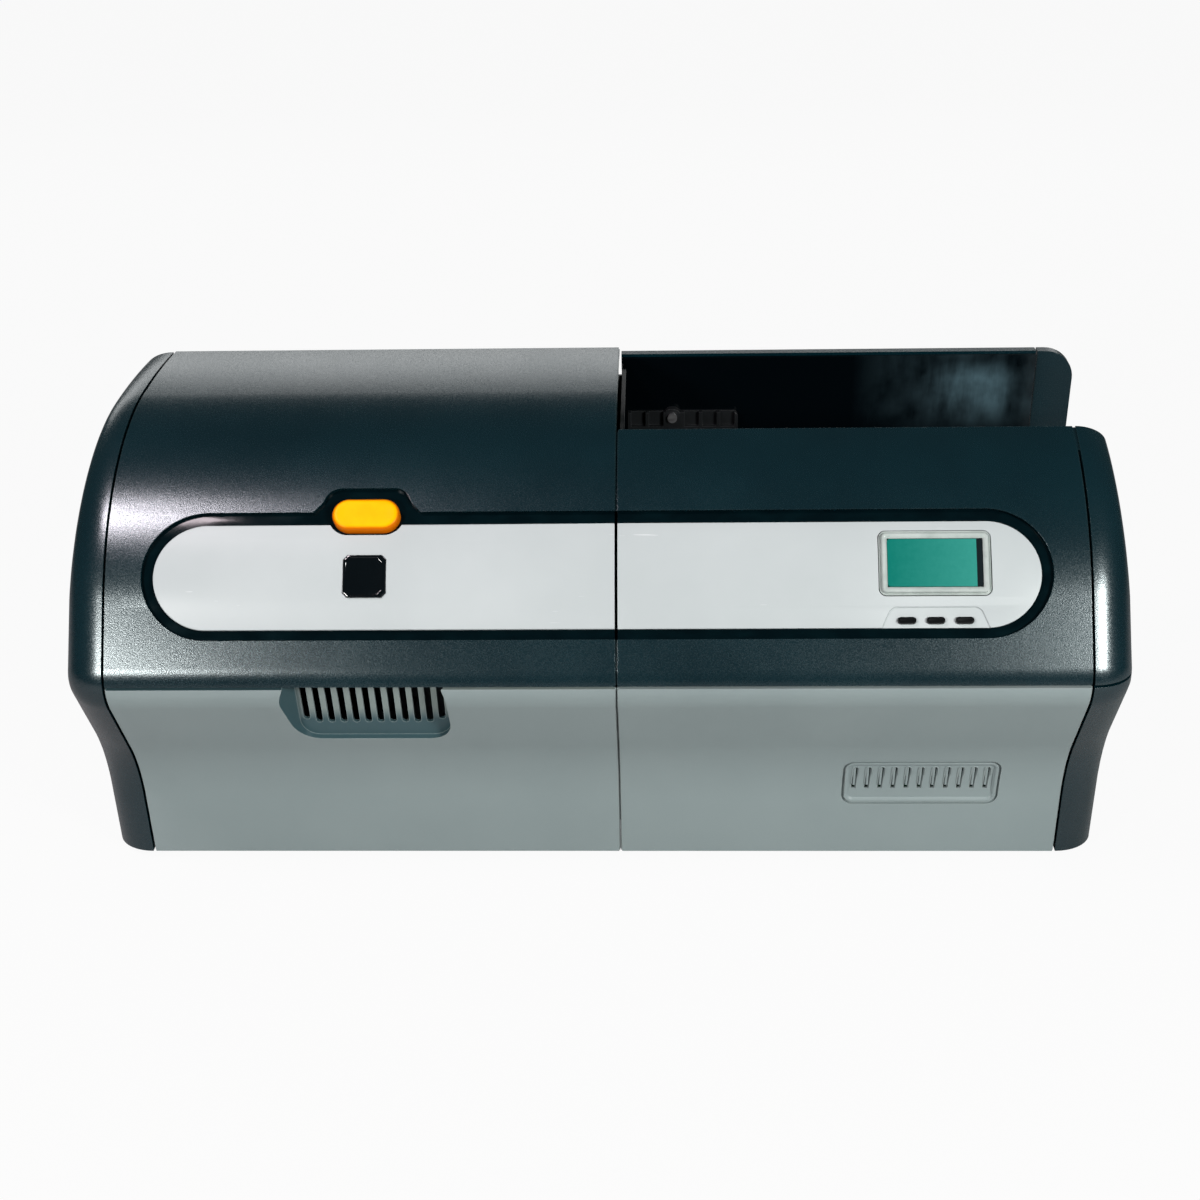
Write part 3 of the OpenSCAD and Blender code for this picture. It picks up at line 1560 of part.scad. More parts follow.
module power_supply() {
    x0 = supply_unit_x;
    x1 = x0 + supply_unit_length;
    y0 = supply_front;
    y1 = supply_back;
    z0 = pan_top + 3;
    z1 = z0 + 55;
    sheet = 1.5;
    row = (y1 - y0 - 26) / 3;
    color(steel) {
        difference() {
            block([x0, y0, z0], [x1, y1, z1]);
            block([x0 + sheet, y0 + sheet, z0 + sheet], [x1 - sheet, y1 - sheet, z1 - sheet]);
            for (i = [0:11], j = [0:2])
                block([x0 + 20 + 12 * i, y0 + 20 + row * j, z1 - 8],
                    [x0 + 26 + 12 * i, y0 + 12 + row * (j + 1), far]);
        }
        for (x = [x0 + 10, x1 - 10], y = [y0 + 10, y1 - 10])
            translate([x, y, pan_top]) cylinder(r = 4, h = 3.5);
    }
}

board_x0 = right_x0 + board_gap;
board_x1 = cover_end - board_inset;
board_front = base_front_y + 27.5;
board_back = back_y - 6;

module main_board() {
    z = pan_top + 8;
    thickness = 1.55;
    color([0.05, 0.30, 0.16]) {
        block([board_x0, board_front, z], [board_x1, board_back, z + thickness]);
        for (x = [board_x0 + 8, board_x1 - 15], y = [board_front + 8, board_back - 30])
            translate([x, y, pan_top]) cylinder(r = 3, h = 8.5);
        block([board_x0 + 60, board_front + 50, z + 1], [board_x0 + 92, board_front + 82, z + 4]);
        block([board_x0 + 20, board_front + 110, z + 1], [board_x0 + 70, board_front + 120, z + 10]);
        for (i = [0:3]) translate([board_x1 - 105 + 16 * i, board_front + 30, z + 1]) cylinder(r = 6, h = 14);
        block([board_x1 - 115, board_front + 86, z + 1], [board_x1 - 55, board_front + 102, z + 12]);
    }
}

fan_depth = 25;
fan_bore = fan_size / 2 - 2;
fan_y1 = rear_inner - 0.05;
fan_y0 = fan_y1 - fan_depth;

module fan_frame() {
    half = fan_size / 2;
    color(black) difference() {
        union() {
            difference() {
                block([fan_x - half, fan_y0, fan_z - half], [fan_x + half, fan_y1, fan_z + half]);
                cylinder_y(fan_bore, fan_y0 - 1, fan_y1 + 1, fan_x, fan_z);
            }
            cylinder_y(16, fan_y0, fan_y0 + 4, fan_x, fan_z);
            for (a = [45, 135])
                translate([fan_x, 0, fan_z]) rotate([0, a, 0])
                    block([-fan_bore - 1, fan_y0, -2], [fan_bore + 1, fan_y0 + 3, 2]);
        }
        cylinder_y(2 + running, fan_y0 - 1, fan_y0 + 5, fan_x, fan_z);
    }
}

module fan_rotor() {
    blades = 7;
    y0 = fan_y0 + 5;
    y1 = fan_y1 - 2;
    color(black) {
        cylinder_y(17, y0, y1, fan_x, fan_z);
        cylinder_y(2, fan_y0 + 0.5, y0 + 1, fan_x, fan_z);
        for (i = [0:blades - 1])
            translate([fan_x, (y0 + y1) / 2, fan_z]) rotate([0, 360 * i / blades, 0])
                translate([16, 0, 0]) rotate([35, 0, 0])
                    block([0, -7, -0.8], [fan_bore - 1.6 - 16, 7, 0.8]);
    }
}

// ---------- hinge ----------

module hinge_brackets() {
    half = knuckle_width / 2;
    color(steel) for (x = hinge_places) difference() {
        union() {
            cylinder_x(knuckle_radius, x - half, x + half, hinge_y, hinge_z);
            block([x - half, hinge_y - knuckle_radius * cos(kink), trough_z + 0.02],
                [x + half, hinge_y + knuckle_radius * cos(kink), hinge_z]);
        }
        cylinder_x(hinge_pin_radius + running, x - half - 1, x + half + 1, hinge_y, hinge_z);
    }
}

module hinge_pins() {
    reach = 1.5 * knuckle_width + knuckle_gap;
    color(steel) for (x = hinge_places)
        cylinder_x(hinge_pin_radius, x - reach, x + reach, hinge_y, hinge_z);
}

base_pan();
feet();
left_side_cover();
right_side_cover();
right_upper_side_cover();
right_fascia();
left_front_panel();
right_front_panel();
rear_panel();
well_liner();
card_guide();
catch_tray();
right_groove_trim();
right_band();
display_bezel();
display_window();
display_module();
display_board();
power_inlet();
usb_port();
network_port();
hinge_brackets();
hinge_pins();
power_supply();
main_board();
fan_frame();
front_frame_plate();
rear_frame_plate();
tie_rods();
card_magazine();
drive_motor();
drive_belt();
latch_keeper();
screws();
print_cover();
left_groove_trim();
left_band();
badge();
latch_button();
latch_hook();
left_key();
middle_key();
right_key();
power_rocker();
fan_rotor();
supply_spindle();
supply_roll();
takeup_spindle();
takeup_roll();
platen_roller();
platen_gear();
motor_pinion();
pick_roller();
feed_roller();
exit_roller();
cleaning_roller();
head_carriage();
printhead();
head_lever();
card_weight();
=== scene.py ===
# Id card printer: finishes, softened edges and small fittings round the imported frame.
import json
import math

import bmesh
import bpy
from mathutils import Matrix, Vector


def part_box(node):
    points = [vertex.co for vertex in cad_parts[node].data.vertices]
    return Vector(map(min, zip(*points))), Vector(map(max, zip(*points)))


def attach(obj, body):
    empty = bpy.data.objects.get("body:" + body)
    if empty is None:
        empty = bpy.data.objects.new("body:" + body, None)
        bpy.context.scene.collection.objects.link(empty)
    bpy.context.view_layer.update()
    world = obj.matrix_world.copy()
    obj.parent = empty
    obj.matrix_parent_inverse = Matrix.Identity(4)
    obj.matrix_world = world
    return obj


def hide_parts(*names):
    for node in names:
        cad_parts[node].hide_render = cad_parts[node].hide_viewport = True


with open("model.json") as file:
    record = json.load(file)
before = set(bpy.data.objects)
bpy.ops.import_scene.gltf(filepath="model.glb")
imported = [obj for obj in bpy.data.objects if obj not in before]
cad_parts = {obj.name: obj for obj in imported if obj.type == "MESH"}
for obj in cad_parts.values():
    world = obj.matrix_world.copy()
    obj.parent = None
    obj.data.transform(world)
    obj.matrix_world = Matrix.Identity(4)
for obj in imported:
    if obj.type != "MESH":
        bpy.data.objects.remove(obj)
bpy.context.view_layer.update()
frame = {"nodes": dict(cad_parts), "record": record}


# ---------- sizes, in metres ----------

mm = 0.001

joint_axis = {row["name"]: Vector(row["axis"]) for row in frame["record"]["behaviour"]["joints"]}
band_out = -joint_axis["middle_key_press"]
latch_out = -joint_axis["latch_press"]
key_row = ("left_key", "middle_key", "right_key")

# Body outline of the side covers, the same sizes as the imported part's
body_depth, body_height, foot_height = 0.277, 0.306, 0.006
half_width, side_cover, seam = 0.3555, 0.030, 0.002
chin_radius, chin_drop, base_setback = 0.030, 0.138, 0.041
slope_run, flare_run, flare_z = 0.0467, 0.0528, 0.054
crown_y, rear_radius, rear_start = 0.045, 0.762, 89.2
round_depth, side_lean, lean_drop = 0.024, 0.007, 0.106
shell, seam_rise, rim_setback = 0.003, 0.004, 0.1315
chin_z = body_height - chin_drop
rim_y = -body_depth / 2 + rim_setback

# Vent of the right panel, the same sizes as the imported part's
vent_x, vent_z, vent_length, vent_height, vent_corner = 0.2262, 0.0678, 0.110, 0.0396, 0.008
vent_depth, slot_pitch, slot_rise, slot_height = 0.0013, 0.0092, 0.003, 0.020
vent_slots = range(-5, 6)

# Finger scoop of the left panel: its reach, and where its pale bars give way to the painted shade of the
# hollow round them
scoop_left, scoop_right, scoop_bottom, scoop_top = -0.214, -0.094, 0.112, 0.172
scoop_shade_left, scoop_shade_bottom = (-0.203, -0.199), (0.133, 0.143)

# Painted highlight on the well's back wall, a pale patch mottled like smudges: from where it is faintest to
# where it is full at each side, and its fainter spread left of it
sheen_left, sheen_right = (0.236, 0.280), (0.316, 0.298)
sheen_bottom, sheen_top = (0.236, 0.266), (0.292, 0.278)
faint_sheen_left, faint_sheen_bottom = (0.19, 0.23), (0.225, 0.255)

# Where faces take a second finish: the ear behind the well, the well's end walls, and the scoop's hollow,
# which is sunk under the panel's face and isn't its back
ear_depth, ear_bottom = 12 * mm, 0.2
end_lean, back_lean, scoop_sunk = 0.6, 0.9, 0.35 * mm

# The band's rounded rim, the recess round its keys, and how a face leans that shows or stands up
rim_radius, recess_radius, recess_corner, crisp_radius = 1.2 * mm, 0.55 * mm, 4 * mm, 0.3 * mm
rim_inset, rim_margin, key_margin = 0.3 * mm, 0.4 * mm, 1.5 * mm
recess_reach, recess_rise = 14 * mm, 9 * mm
faces_out, stands_up = 0.85, 0.4

# Rounding of the other nodes' edges
broad_edge, soft_edge = 0.8 * mm, 0.5 * mm
edge_width = {
    **dict.fromkeys(("print_cover", "right_fascia"), broad_edge),
    **dict.fromkeys((
        "left_front_panel", "right_front_panel", "right_side_cover", "rear_panel", "left_groove_trim",
        "right_groove_trim", "card_guide", "catch_tray", "well_liner", "feet", "power_inlet",
        "power_rocker"), soft_edge)}


# ---------- finishes ----------

# A Mix node's sockets for colours, which share their names with its other sockets
mix_colours, mix_result = (6, 7), 2

socket_names = {"specular": "Specular IOR Level", "specular_tint": "Specular Tint"}

# Patches of wear, and the grain of the dark shells and of other plastic
wear_patch, shell_grain, plastic_grain = 0.09, 0.0008, 0.0007


class Wire:
    """A node's output. Arithmetic on wires adds Math nodes."""

    def __init__(self, nodes, socket):
        self.nodes = nodes
        self.socket = socket

    def maths(self, operation, first, second):
        return self.nodes.node("ShaderNodeMath", {"operation": operation}, {0: first, 1: second})

    def __add__(self, other):
        return self.maths("ADD", self, other)

    def __radd__(self, other):
        return self.maths("ADD", other, self)

    def __sub__(self, other):
        return self.maths("SUBTRACT", self, other)

    def __rsub__(self, other):
        return self.maths("SUBTRACT", other, self)

    def __mul__(self, other):
        return self.maths("MULTIPLY", self, other)

    def __rmul__(self, other):
        return self.maths("MULTIPLY", other, self)

    def __gt__(self, other):
        return self.maths("GREATER_THAN", self, other)

    def __lt__(self, other):
        return self.maths("LESS_THAN", self, other)

    def or_more(self, other):
        """The larger of the two."""
        return self.maths("MAXIMUM", self, other)

    def ramp(self, low, high, start=0.0, end=1.0):
        """Goes from start to end as this value goes from low to high."""
        return self.nodes.node(
            "ShaderNodeMapRange", {"clamp": True},
            {"Value": self, "From Min": low, "From Max": high, "To Min": start, "To Max": end})


class Nodes:
    """The nodes of a finish or of the sky."""

    def __init__(self, tree):
        self.tree = tree

    def node(self, kind, settings=None, sockets=None, out=0):
        """Adds a node: its settings first, then the values or wires of its sockets."""
        node = self.tree.nodes.new(kind)
        for key, value in (settings or {}).items():
            setattr(node, key, value)
        for key, value in (sockets or {}).items():
            self.join(value, node.inputs[key])
        return Wire(self, node.outputs[out])

    def join(self, value, socket):
        if isinstance(value, Wire):
            self.tree.links.new(value.socket, socket)
        else:
            socket.default_value = value

    def show(self, shader, output):
        """Makes a shader the one that the output shows."""
        self.join(shader, self.tree.nodes[output].inputs["Surface"])


class Finish(Nodes):
    """A procedural material with one Principled shader."""

    def __init__(self, name, **surface):
        self.material = bpy.data.materials.new(name)
        self.material.use_nodes = True
        super().__init__(self.material.node_tree)
        self.shader = self.tree.nodes["Principled BSDF"]
        self.place = self.node("ShaderNodeTexCoord", out="Object")
        self.set(**surface)

    def set(self, **surface):
        """Sets the shader's sockets; base_color stands for Base Color and so on."""
        for key, value in surface.items():
            if isinstance(value, tuple) and len(value) == 3:
                value = (*value, 1.0)
            self.join(value, self.shader.inputs[socket_names.get(key, key.replace("_", " ").title())])

    def noise(self, size, detail=3.0, roughness=0.5, stretch=None):
        """Soft noise whose patches are about size metres across."""
        place = self.place
        if stretch:
            place = self.node("ShaderNodeVectorMath", {"operation": "MULTIPLY"}, {0: place, 1: stretch})
        return self.node("ShaderNodeTexNoise", None, {
            "Vector": place, "Scale": 1.0 / size, "Detail": detail, "Roughness": roughness})

    def blend(self, factor, first, second):
        """Colour that goes from first to second with the factor."""
        colours = [c if isinstance(c, Wire) else (*c, 1.0) for c in (first, second)]
        return self.node(
            "ShaderNodeMix", {"data_type": "RGBA"},
            {"Factor": factor, **dict(zip(mix_colours, colours))}, out=mix_result)

    def axis(self, name):
        """One coordinate of the place on the object, in metres."""
        return self.node("ShaderNodeSeparateXYZ", None, {0: self.place}, out=name)

    def bumps(self, height, depth):
        """Bump of a height field; depth in metres."""
        return self.node("ShaderNodeBump", None, {"Height": height, "Distance": depth, "Strength": 1.0})

    def facing(self, direction):
        """1 where the surface faces along a direction, 0 where it is square to it."""
        normal = self.node("ShaderNodeNewGeometry", out="Normal")
        return self.node(
            "ShaderNodeVectorMath", {"operation": "DOT_PRODUCT"}, {0: direction, 1: normal}, out="Value")

    def edge_wear_and_highlight(self, width=0.6 * mm):
        """1 near edges that stick out, 0 elsewhere."""
        return self.facing(self.node("ShaderNodeBevel", {"samples": 4}, {"Radius": width})).ramp(0.995, 0.9)

    def wear(self, grain):
        """Cloudy wear, and the same mixed half and half with a grain."""
        clouds = self.noise(wear_patch, 4.0)
        return clouds, clouds.ramp(0.35, 0.7) * 0.5 + grain * 0.5


def paler(colour, times):
    return tuple(min(1.0, c * times) for c in colour)


def moulded(name, colour, lighter, roughness, depth=0.03 * mm, gloss=0.5, edge=None):
    """Moulded plastic with an eroded grain and cloudy wear; edge is the colour of its rubbed edges."""
    finish = Finish(name, specular=gloss)
    grain = finish.noise(plastic_grain, 2.0)
    clouds, mottle = finish.wear(grain)
    tone = finish.blend(mottle, colour, lighter)
    if edge:
        tone = finish.blend(finish.edge_wear_and_highlight() * clouds.ramp(0.4, 0.6, 0.2, 0.8), tone, edge)
    finish.set(
        base_color=tone,
        roughness=clouds.ramp(0.3, 0.7, roughness - 0.03, roughness + 0.04),
        normal=finish.bumps(grain, depth))
    return finish.material


def polished(name, colour, roughness, gloss=0.5):
    """Smooth glossy plastic with faint smears in its polish."""
    finish = Finish(name, specular=gloss)
    smears = finish.noise(0.05, 5.0, 0.6, stretch=(1.0, 2.2, 1.4))
    finish.set(
        base_color=finish.blend(smears.ramp(0.4, 0.7), colour, paler(colour, 1.12)),
        roughness=smears.ramp(0.35, 0.75, roughness, roughness + 0.08),
        normal=finish.bumps(finish.noise(0.02, 1.0), 0.02 * mm))
    return finish.material


def metal(name, colour, roughness):
    """Sheet or turned metal with fine brush lines."""
    finish = Finish(name, metallic=1.0)
    lines = finish.noise(0.01, 4.0, 0.7, stretch=(1.0, 12.0, 12.0))
    finish.set(
        base_color=finish.blend(lines.ramp(0.3, 0.7), colour, paler(colour, 1.2)),
        roughness=lines.ramp(0.3, 0.7, roughness - 0.06, roughness + 0.1),
        normal=finish.bumps(lines, 0.01 * mm))
    return finish.material


def scratched_band():
    """Smooth white plastic with fine scratches and faint cloudy wear."""
    finish = Finish("white_band", specular=0.14)
    clouds = finish.noise(0.12, 4.0)
    scratches = finish.noise(0.012, 2.0, stretch=(0.35, 9.0, 6.0)) > 0.74
    marks = scratches * finish.noise(0.05, 2.0).ramp(0.55, 0.62)
    tone = finish.blend(clouds.ramp(0.4, 0.7), (0.42, 0.46, 0.465), (0.46, 0.50, 0.505))
    finish.set(
        base_color=finish.blend(marks * 0.4, tone, (0.8, 0.82, 0.83)),
        roughness=clouds.ramp(0.35, 0.7, 0.30, 0.38),
        normal=finish.bumps(finish.noise(0.015, 1.0), 0.01 * mm))
    return finish.material


def well_with_painted_sheen():
    """Deep black gloss of the well, with thin scratches, and a painted highlight mottled like smudges high
    on its back wall.
    """
    finish = Finish("gloss_black", specular=0.12)
    x, z = finish.axis("X"), finish.axis("Z")
    film = finish.noise(0.03, 3.0, 0.5)
    wipes = finish.noise(0.02, 4.0, 0.6, stretch=(1.6, 1.0, 0.35))
    # Painted highlight: a pale patch placed high on the back wall, mottled by the film and wipes noise,
    # with a fainter spread to its left
    faint = x.ramp(*faint_sheen_left) * z.ramp(*faint_sheen_bottom) * 0.22
    sheen_patch = x.ramp(*sheen_left) * z.ramp(*sheen_bottom) * x.ramp(*sheen_right, 0.1) * z.ramp(*sheen_top, 0.2)
    smudged_sheen = (film * 0.6 + wipes * 0.4).ramp(0.36, 0.62) * (sheen_patch + faint)
    lines = finish.noise(0.012, 2.0, stretch=(3.0, 1.0, 0.5)) > 0.76
    scratches = lines * finish.noise(0.05, 1.0).ramp(0.5, 0.6)
    finish.set(
        base_color=finish.blend(
            smudged_sheen * 0.6 + scratches * 0.5, (0.0006, 0.0016, 0.0024), (0.07, 0.125, 0.15)),
        roughness=film.ramp(0.3, 0.7, 0.08, 0.2),
        normal=finish.bumps(finish.noise(0.03, 1.0), 0.04 * mm))
    return finish.material


def groove_gloss():
    """Teal black gloss of the trim round the band."""
    finish = Finish("trim_black", specular=0.2)
    smears = finish.noise(0.02, 4.0, stretch=(1.0, 2.0, 2.0))
    finish.set(
        base_color=finish.blend(smears.ramp(0.4, 0.7), (0.0004, 0.0035, 0.005), (0.0008, 0.006, 0.008)),
        roughness=smears.ramp(0.3, 0.75, 0.05, 0.11),
        normal=finish.bumps(finish.noise(0.006, 2.0), 0.01 * mm))
    return finish.material


def sparkling_dark(name, gloss):
    """Teal black plastic with an eroded grain that glitters where a lamp catches it."""
    finish = Finish(name, specular=gloss, specular_tint=(0.88, 0.98, 1.0))
    grain = finish.noise(shell_grain, 2.0, 0.6)
    clouds, mottle = finish.wear(grain)
    tone = finish.blend(mottle, (0.0004, 0.008, 0.012), (0.0008, 0.015, 0.021))
    rubbed = finish.edge_wear_and_highlight() * clouds.ramp(0.4, 0.6, 0.2, 0.7)
    finish.set(
        base_color=finish.blend(rubbed, tone, (0.02, 0.045, 0.05)),
        roughness=grain.ramp(0.35, 0.65, 0.19, 0.30) + clouds.ramp(0.3, 0.7, -0.02, 0.02),
        normal=finish.bumps(grain, 0.06 * mm))
    return finish.material


def amber_button():
    """Yellow amber face, with painted shade in deep orange on the bevel that turns away from the face."""
    finish = Finish("amber_plastic", specular=0.06)
    smears = finish.noise(0.012, 4.0)
    face = finish.blend(smears.ramp(0.4, 0.7), (0.92, 0.43, 0.0), (0.97, 0.48, 0.0))
    # Painted shade: as the bevel turns away from the button's face, it goes to a darker deep orange
    finish.set(
        base_color=finish.blend(finish.facing(tuple(latch_out)).ramp(0.72, 0.99), (0.62, 0.14, 0.0), face),
        roughness=smears.ramp(0.3, 0.7, 0.3, 0.4),
        normal=finish.bumps(finish.noise(0.0015, 2.0), 0.005 * mm))
    return finish.material


def shaded_scoop():
    """Grey of the finger scoop: pale bars between its slots, painted shade in darker teal in the soft
    hollow round them, and a painted highlight on its edges.
    """
    finish = Finish("scoop_grey_and_shade", specular=0.4)
    # Painted shade: darker teal below and left of the bars, where the hollow falls into shade
    below = finish.axis("Z").ramp(*scoop_shade_bottom, 1.0, 0.0)
    beside = finish.axis("X").ramp(*scoop_shade_left, 1.0, 0.0)
    tone = finish.blend(below.or_more(beside), (0.205, 0.250, 0.24), (0.040, 0.082, 0.094))
    # Painted highlight: paler colour along the scoop's edges, where light catches them
    finish.set(
        base_color=finish.blend(finish.edge_wear_and_highlight(0.8 * mm), tone, (0.26, 0.33, 0.33)),
        roughness=finish.noise(0.02, 3.0).ramp(0.3, 0.7, 0.32, 0.42),
        normal=finish.bumps(finish.noise(shell_grain, 2.0), 0.03 * mm))
    return finish.material


def liquid_crystal():
    """Unlit green display, paler towards its right, with a black strip at the right edge."""
    low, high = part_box("display_window")
    middle, half = (low[0] + high[0]) / 2, (high[0] - low[0]) / 2
    finish = Finish("display_green", coat_weight=0.08, coat_roughness=0.04, roughness=0.4, specular=0.1)
    across = (finish.axis("X") - middle).ramp(-half, half)
    mottle = finish.noise(0.004, 5.0, 0.7)
    tone = finish.blend(across + (mottle - 0.5) * 0.5, (0.0, 0.140, 0.110), (0.024, 0.225, 0.186))
    strip = across > 0.937
    finish.set(
        base_color=finish.blend(strip, tone, (0.0015, 0.006, 0.008)),
        normal=finish.bumps(mottle, 0.01 * mm))
    return finish.material


def clouded_clear():
    """Milky clear plastic of the display's frame, with dirt along its edges."""
    finish = Finish("clear_bezel", roughness=0.22, coat_weight=0.4, coat_roughness=0.05)
    haze = finish.noise(0.01, 4.0)
    dirt = finish.edge_wear_and_highlight(0.4 * mm) * 0.25 + finish.noise(0.004, 3.0).ramp(0.6, 0.75) * 0.3
    tone = finish.blend(haze.ramp(0.35, 0.65), (0.36, 0.41, 0.39), (0.44, 0.49, 0.47))
    finish.set(
        base_color=finish.blend(dirt, tone, (0.20, 0.23, 0.21)),
        normal=finish.bumps(haze, 0.02 * mm))
    return finish.material


display = liquid_crystal()

finishes = {
    "dark_plastic": sparkling_dark("dark_plastic", 0.9),
    "rear_plastic": sparkling_dark("rear_plastic", 0.3),
    "gloss_black": well_with_painted_sheen(),
    "well_end": moulded("well_end", (0.0008, 0.0016, 0.0022), (0.0012, 0.0022, 0.003), 0.8, gloss=0.0),
    "trim_black": groove_gloss(),
    "grey_plastic": moulded(
        "grey_plastic", (0.213, 0.262, 0.266), (0.244, 0.295, 0.298), 0.42, depth=0.02 * mm,
        edge=(0.34, 0.38, 0.37)),
    "scoop_grey_and_shade": shaded_scoop(),
    "key_black": polished("key_black", (0.0008, 0.0012, 0.0016), 0.22, gloss=0.3),
    "badge_black": polished("badge_black", (0.0010, 0.0022, 0.0032), 0.07),
    "white_band": scratched_band(),
    "steel": metal("steel", (0.52, 0.53, 0.54), 0.38),
    "rubber": moulded("rubber", (0.012, 0.012, 0.012), (0.02, 0.02, 0.02), 0.7),
    "amber_plastic": amber_button(),
    "clear_bezel": clouded_clear(),
    "display_glass": display,
    "display_green": display,
    "circuit_board": moulded("circuit_board", (0.01, 0.10, 0.05), (0.02, 0.14, 0.07), 0.35),
    "black_plastic": moulded(
        "black_plastic", (0.004, 0.005, 0.006), (0.009, 0.011, 0.012), 0.42, edge=(0.03, 0.035, 0.04)),
    "natural_nylon": moulded("natural_nylon", (0.68, 0.66, 0.60), (0.74, 0.72, 0.66), 0.45),
    "ribbon_film": polished("ribbon_film", (0.03, 0.015, 0.05), 0.14),
    "amber_rubber": moulded("amber_rubber", (0.42, 0.22, 0.05), (0.5, 0.28, 0.08), 0.5),
    "aluminium": metal("aluminium", (0.72, 0.73, 0.74), 0.3),
    "green_plastic": polished("green_plastic", (0.02, 0.26, 0.10), 0.25),
}

# Nodes whose finish isn't their slot's own
own_finish = {
    "left_groove_trim": "trim_black", "right_groove_trim": "trim_black", "badge": "badge_black",
    "rear_panel": "rear_plastic", **dict.fromkeys(key_row, "key_black")}

slot_of = {row["node"]: row["material_slot"] for row in frame["record"]["subparts"]}
body_of = {node: body for body, names in frame["record"]["behaviour"]["bodies"].items() for node in names}
finish_of = {node: finishes[own_finish.get(node, slot)] for node, slot in slot_of.items()}


def dress(thing, material):
    thing.data.materials.clear()
    thing.data.materials.append(material)


for name, thing in frame["nodes"].items():
    dress(thing, finish_of[name])


# ---------- making pieces ----------

def smooth(mesh, angle):
    """Smooth shading that leaves the edges that turn by more than an angle sharp."""
    if "custom_normal" in mesh.attributes:
        mesh.attributes.remove(mesh.attributes["custom_normal"])
    mesh.polygons.foreach_set("use_smooth", [True] * len(mesh.polygons))
    mesh.set_sharp_from_angle(angle=math.radians(angle))


def fitting(name, form, node, angle=28):
    """Makes a form a piece in a node's finish, on the node's body."""
    bmesh.ops.recalc_face_normals(form, faces=form.faces)
    mesh = bpy.data.meshes.new(name)
    form.to_mesh(mesh)
    form.free()
    smooth(mesh, angle)
    piece = bpy.data.objects.new(name, mesh)
    bpy.context.scene.collection.objects.link(piece)
    dress(piece, finish_of[node])
    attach(piece, body_of[node])
    return piece


def publish(name, form, node):
    """Makes a form a piece that stands for a node."""
    piece = fitting(name, form, node)
    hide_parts(node)
    return piece


def round_edges(piece, width):
    """Rounds the sharp edges of a piece for good."""
    edges = piece.modifiers.new("edges", "BEVEL")
    edges.width = width
    edges.segments = 2
    edges.limit_method = "ANGLE"
    edges.angle_limit = math.radians(32)
    edges.harden_normals = True
    shown = piece.evaluated_get(bpy.context.evaluated_depsgraph_get())
    mesh = bpy.data.meshes.new_from_object(shown)
    piece.modifiers.clear()
    piece.data = mesh


def node_form(node):
    """A node's mesh, joined up and with its flat faces whole."""
    form = bmesh.new()
    form.from_mesh(frame["nodes"][node].data)
    bmesh.ops.remove_doubles(form, verts=form.verts, dist=0.002 * mm)
    bmesh.ops.dissolve_limit(form, angle_limit=math.radians(0.5), verts=form.verts, edges=form.edges)
    return form


def softened(node, form, width):
    """A form of a node with its sharp edges rounded, in the node's place."""
    round_edges(publish(node + "_softened", form, node), width)


def seat_of(node, normal):
    """The plane of a node's top: its middle and the axes across, up and out, and the node's size."""
    across = Vector((1, 0, 0))
    out = Vector(normal).normalized()
    up = out.cross(across)
    reach = []
    for axis in (across, up, out):
        places = [axis.dot(vertex.co) for vertex in frame["nodes"][node].data.vertices]
        reach.append((min(places), max(places)))
    middle = across * sum(reach[0]) / 2 + up * sum(reach[1]) / 2 + out * reach[2][1]
    turn = Matrix((across, up, out)).transposed().to_4x4()
    size = [high - low for low, high in reach]
    return Matrix.Translation(middle) @ turn, size


def skin(form, rows, caps=True):
    """Faces between rows of the same number of points, and over the first and last row."""
    for low, high in zip(rows, rows[1:]):
        for i in range(len(low)):
            j = (i + 1) % len(low)
            form.faces.new((low[i], low[j], high[j], high[i]))
    if caps:
        form.faces.new(rows[0])
        form.faces.new(rows[-1])


def loft(rings, caps=True):
    form = bmesh.new()
    skin(form, [[form.verts.new(point) for point in ring] for ring in rings], caps)
    return form


def rounded_ring(width, height, radius, steps=10):
    """Points of a rounded rectangle; a stadium where the radius is half its height."""
    points = []
    for quarter, (sx, sy) in enumerate(((1, 1), (-1, 1), (-1, -1), (1, -1))):
        for i in range(steps + 1):
            turn = math.radians(90 * (quarter + i / steps))
            points.append((
                sx * (width / 2 - radius) + radius * math.cos(turn),
                sy * (height / 2 - radius) + radius * math.sin(turn)))
    return points


def stepped(node, normal, profile, radius=None, steps=10):
    """Rings over a node, from insets and heights in mm; a stadium where no radius is given."""
    place, size = seat_of(node, normal)
    rings = []
    for inset, level in profile:
        wide, high = (reach - 2 * inset * mm for reach in size[:2])
        corner = high / 2 if radius is None else max(radius - inset * mm, 0.3 * mm)
        ring = rounded_ring(wide, high, corner, steps)
        rings.append([place @ Vector((x, y, level * mm)) for x, y in ring])
    return rings


def trimmed(form, place, normal):
    """Cuts away what lies on the side that the normal points to, and closes the cut."""
    everything = list(form.verts) + list(form.edges) + list(form.faces)
    cut = bmesh.ops.bisect_plane(
        form, geom=everything, plane_co=place, plane_no=normal, clear_outer=True, dist=0.001 * mm)
    rim = [item for item in cut["geom_cut"] if isinstance(item, bmesh.types.BMEdge)]
    bmesh.ops.triangle_fill(form, edges=rim, use_beauty=True)


def second_finish(piece_name, finish_name, chosen):
    """Gives the chosen faces of a piece another finish."""
    piece = bpy.data.objects[piece_name]
    piece.data.materials.append(finishes[finish_name])
    for face in piece.data.polygons:
        if chosen(face.center, face.normal):
            face.material_index = len(piece.data.materials) - 1


# ---------- side covers ----------

def heading(degrees):
    return Vector((math.cos(math.radians(degrees)), math.sin(math.radians(degrees))))


def run_angle(first, second, radius):
    """Direction from a circle's centre to where its straight run to another circle starts."""
    between = first - second
    return math.degrees(math.atan2(between.y, between.x) + math.acos(radius / between.length))


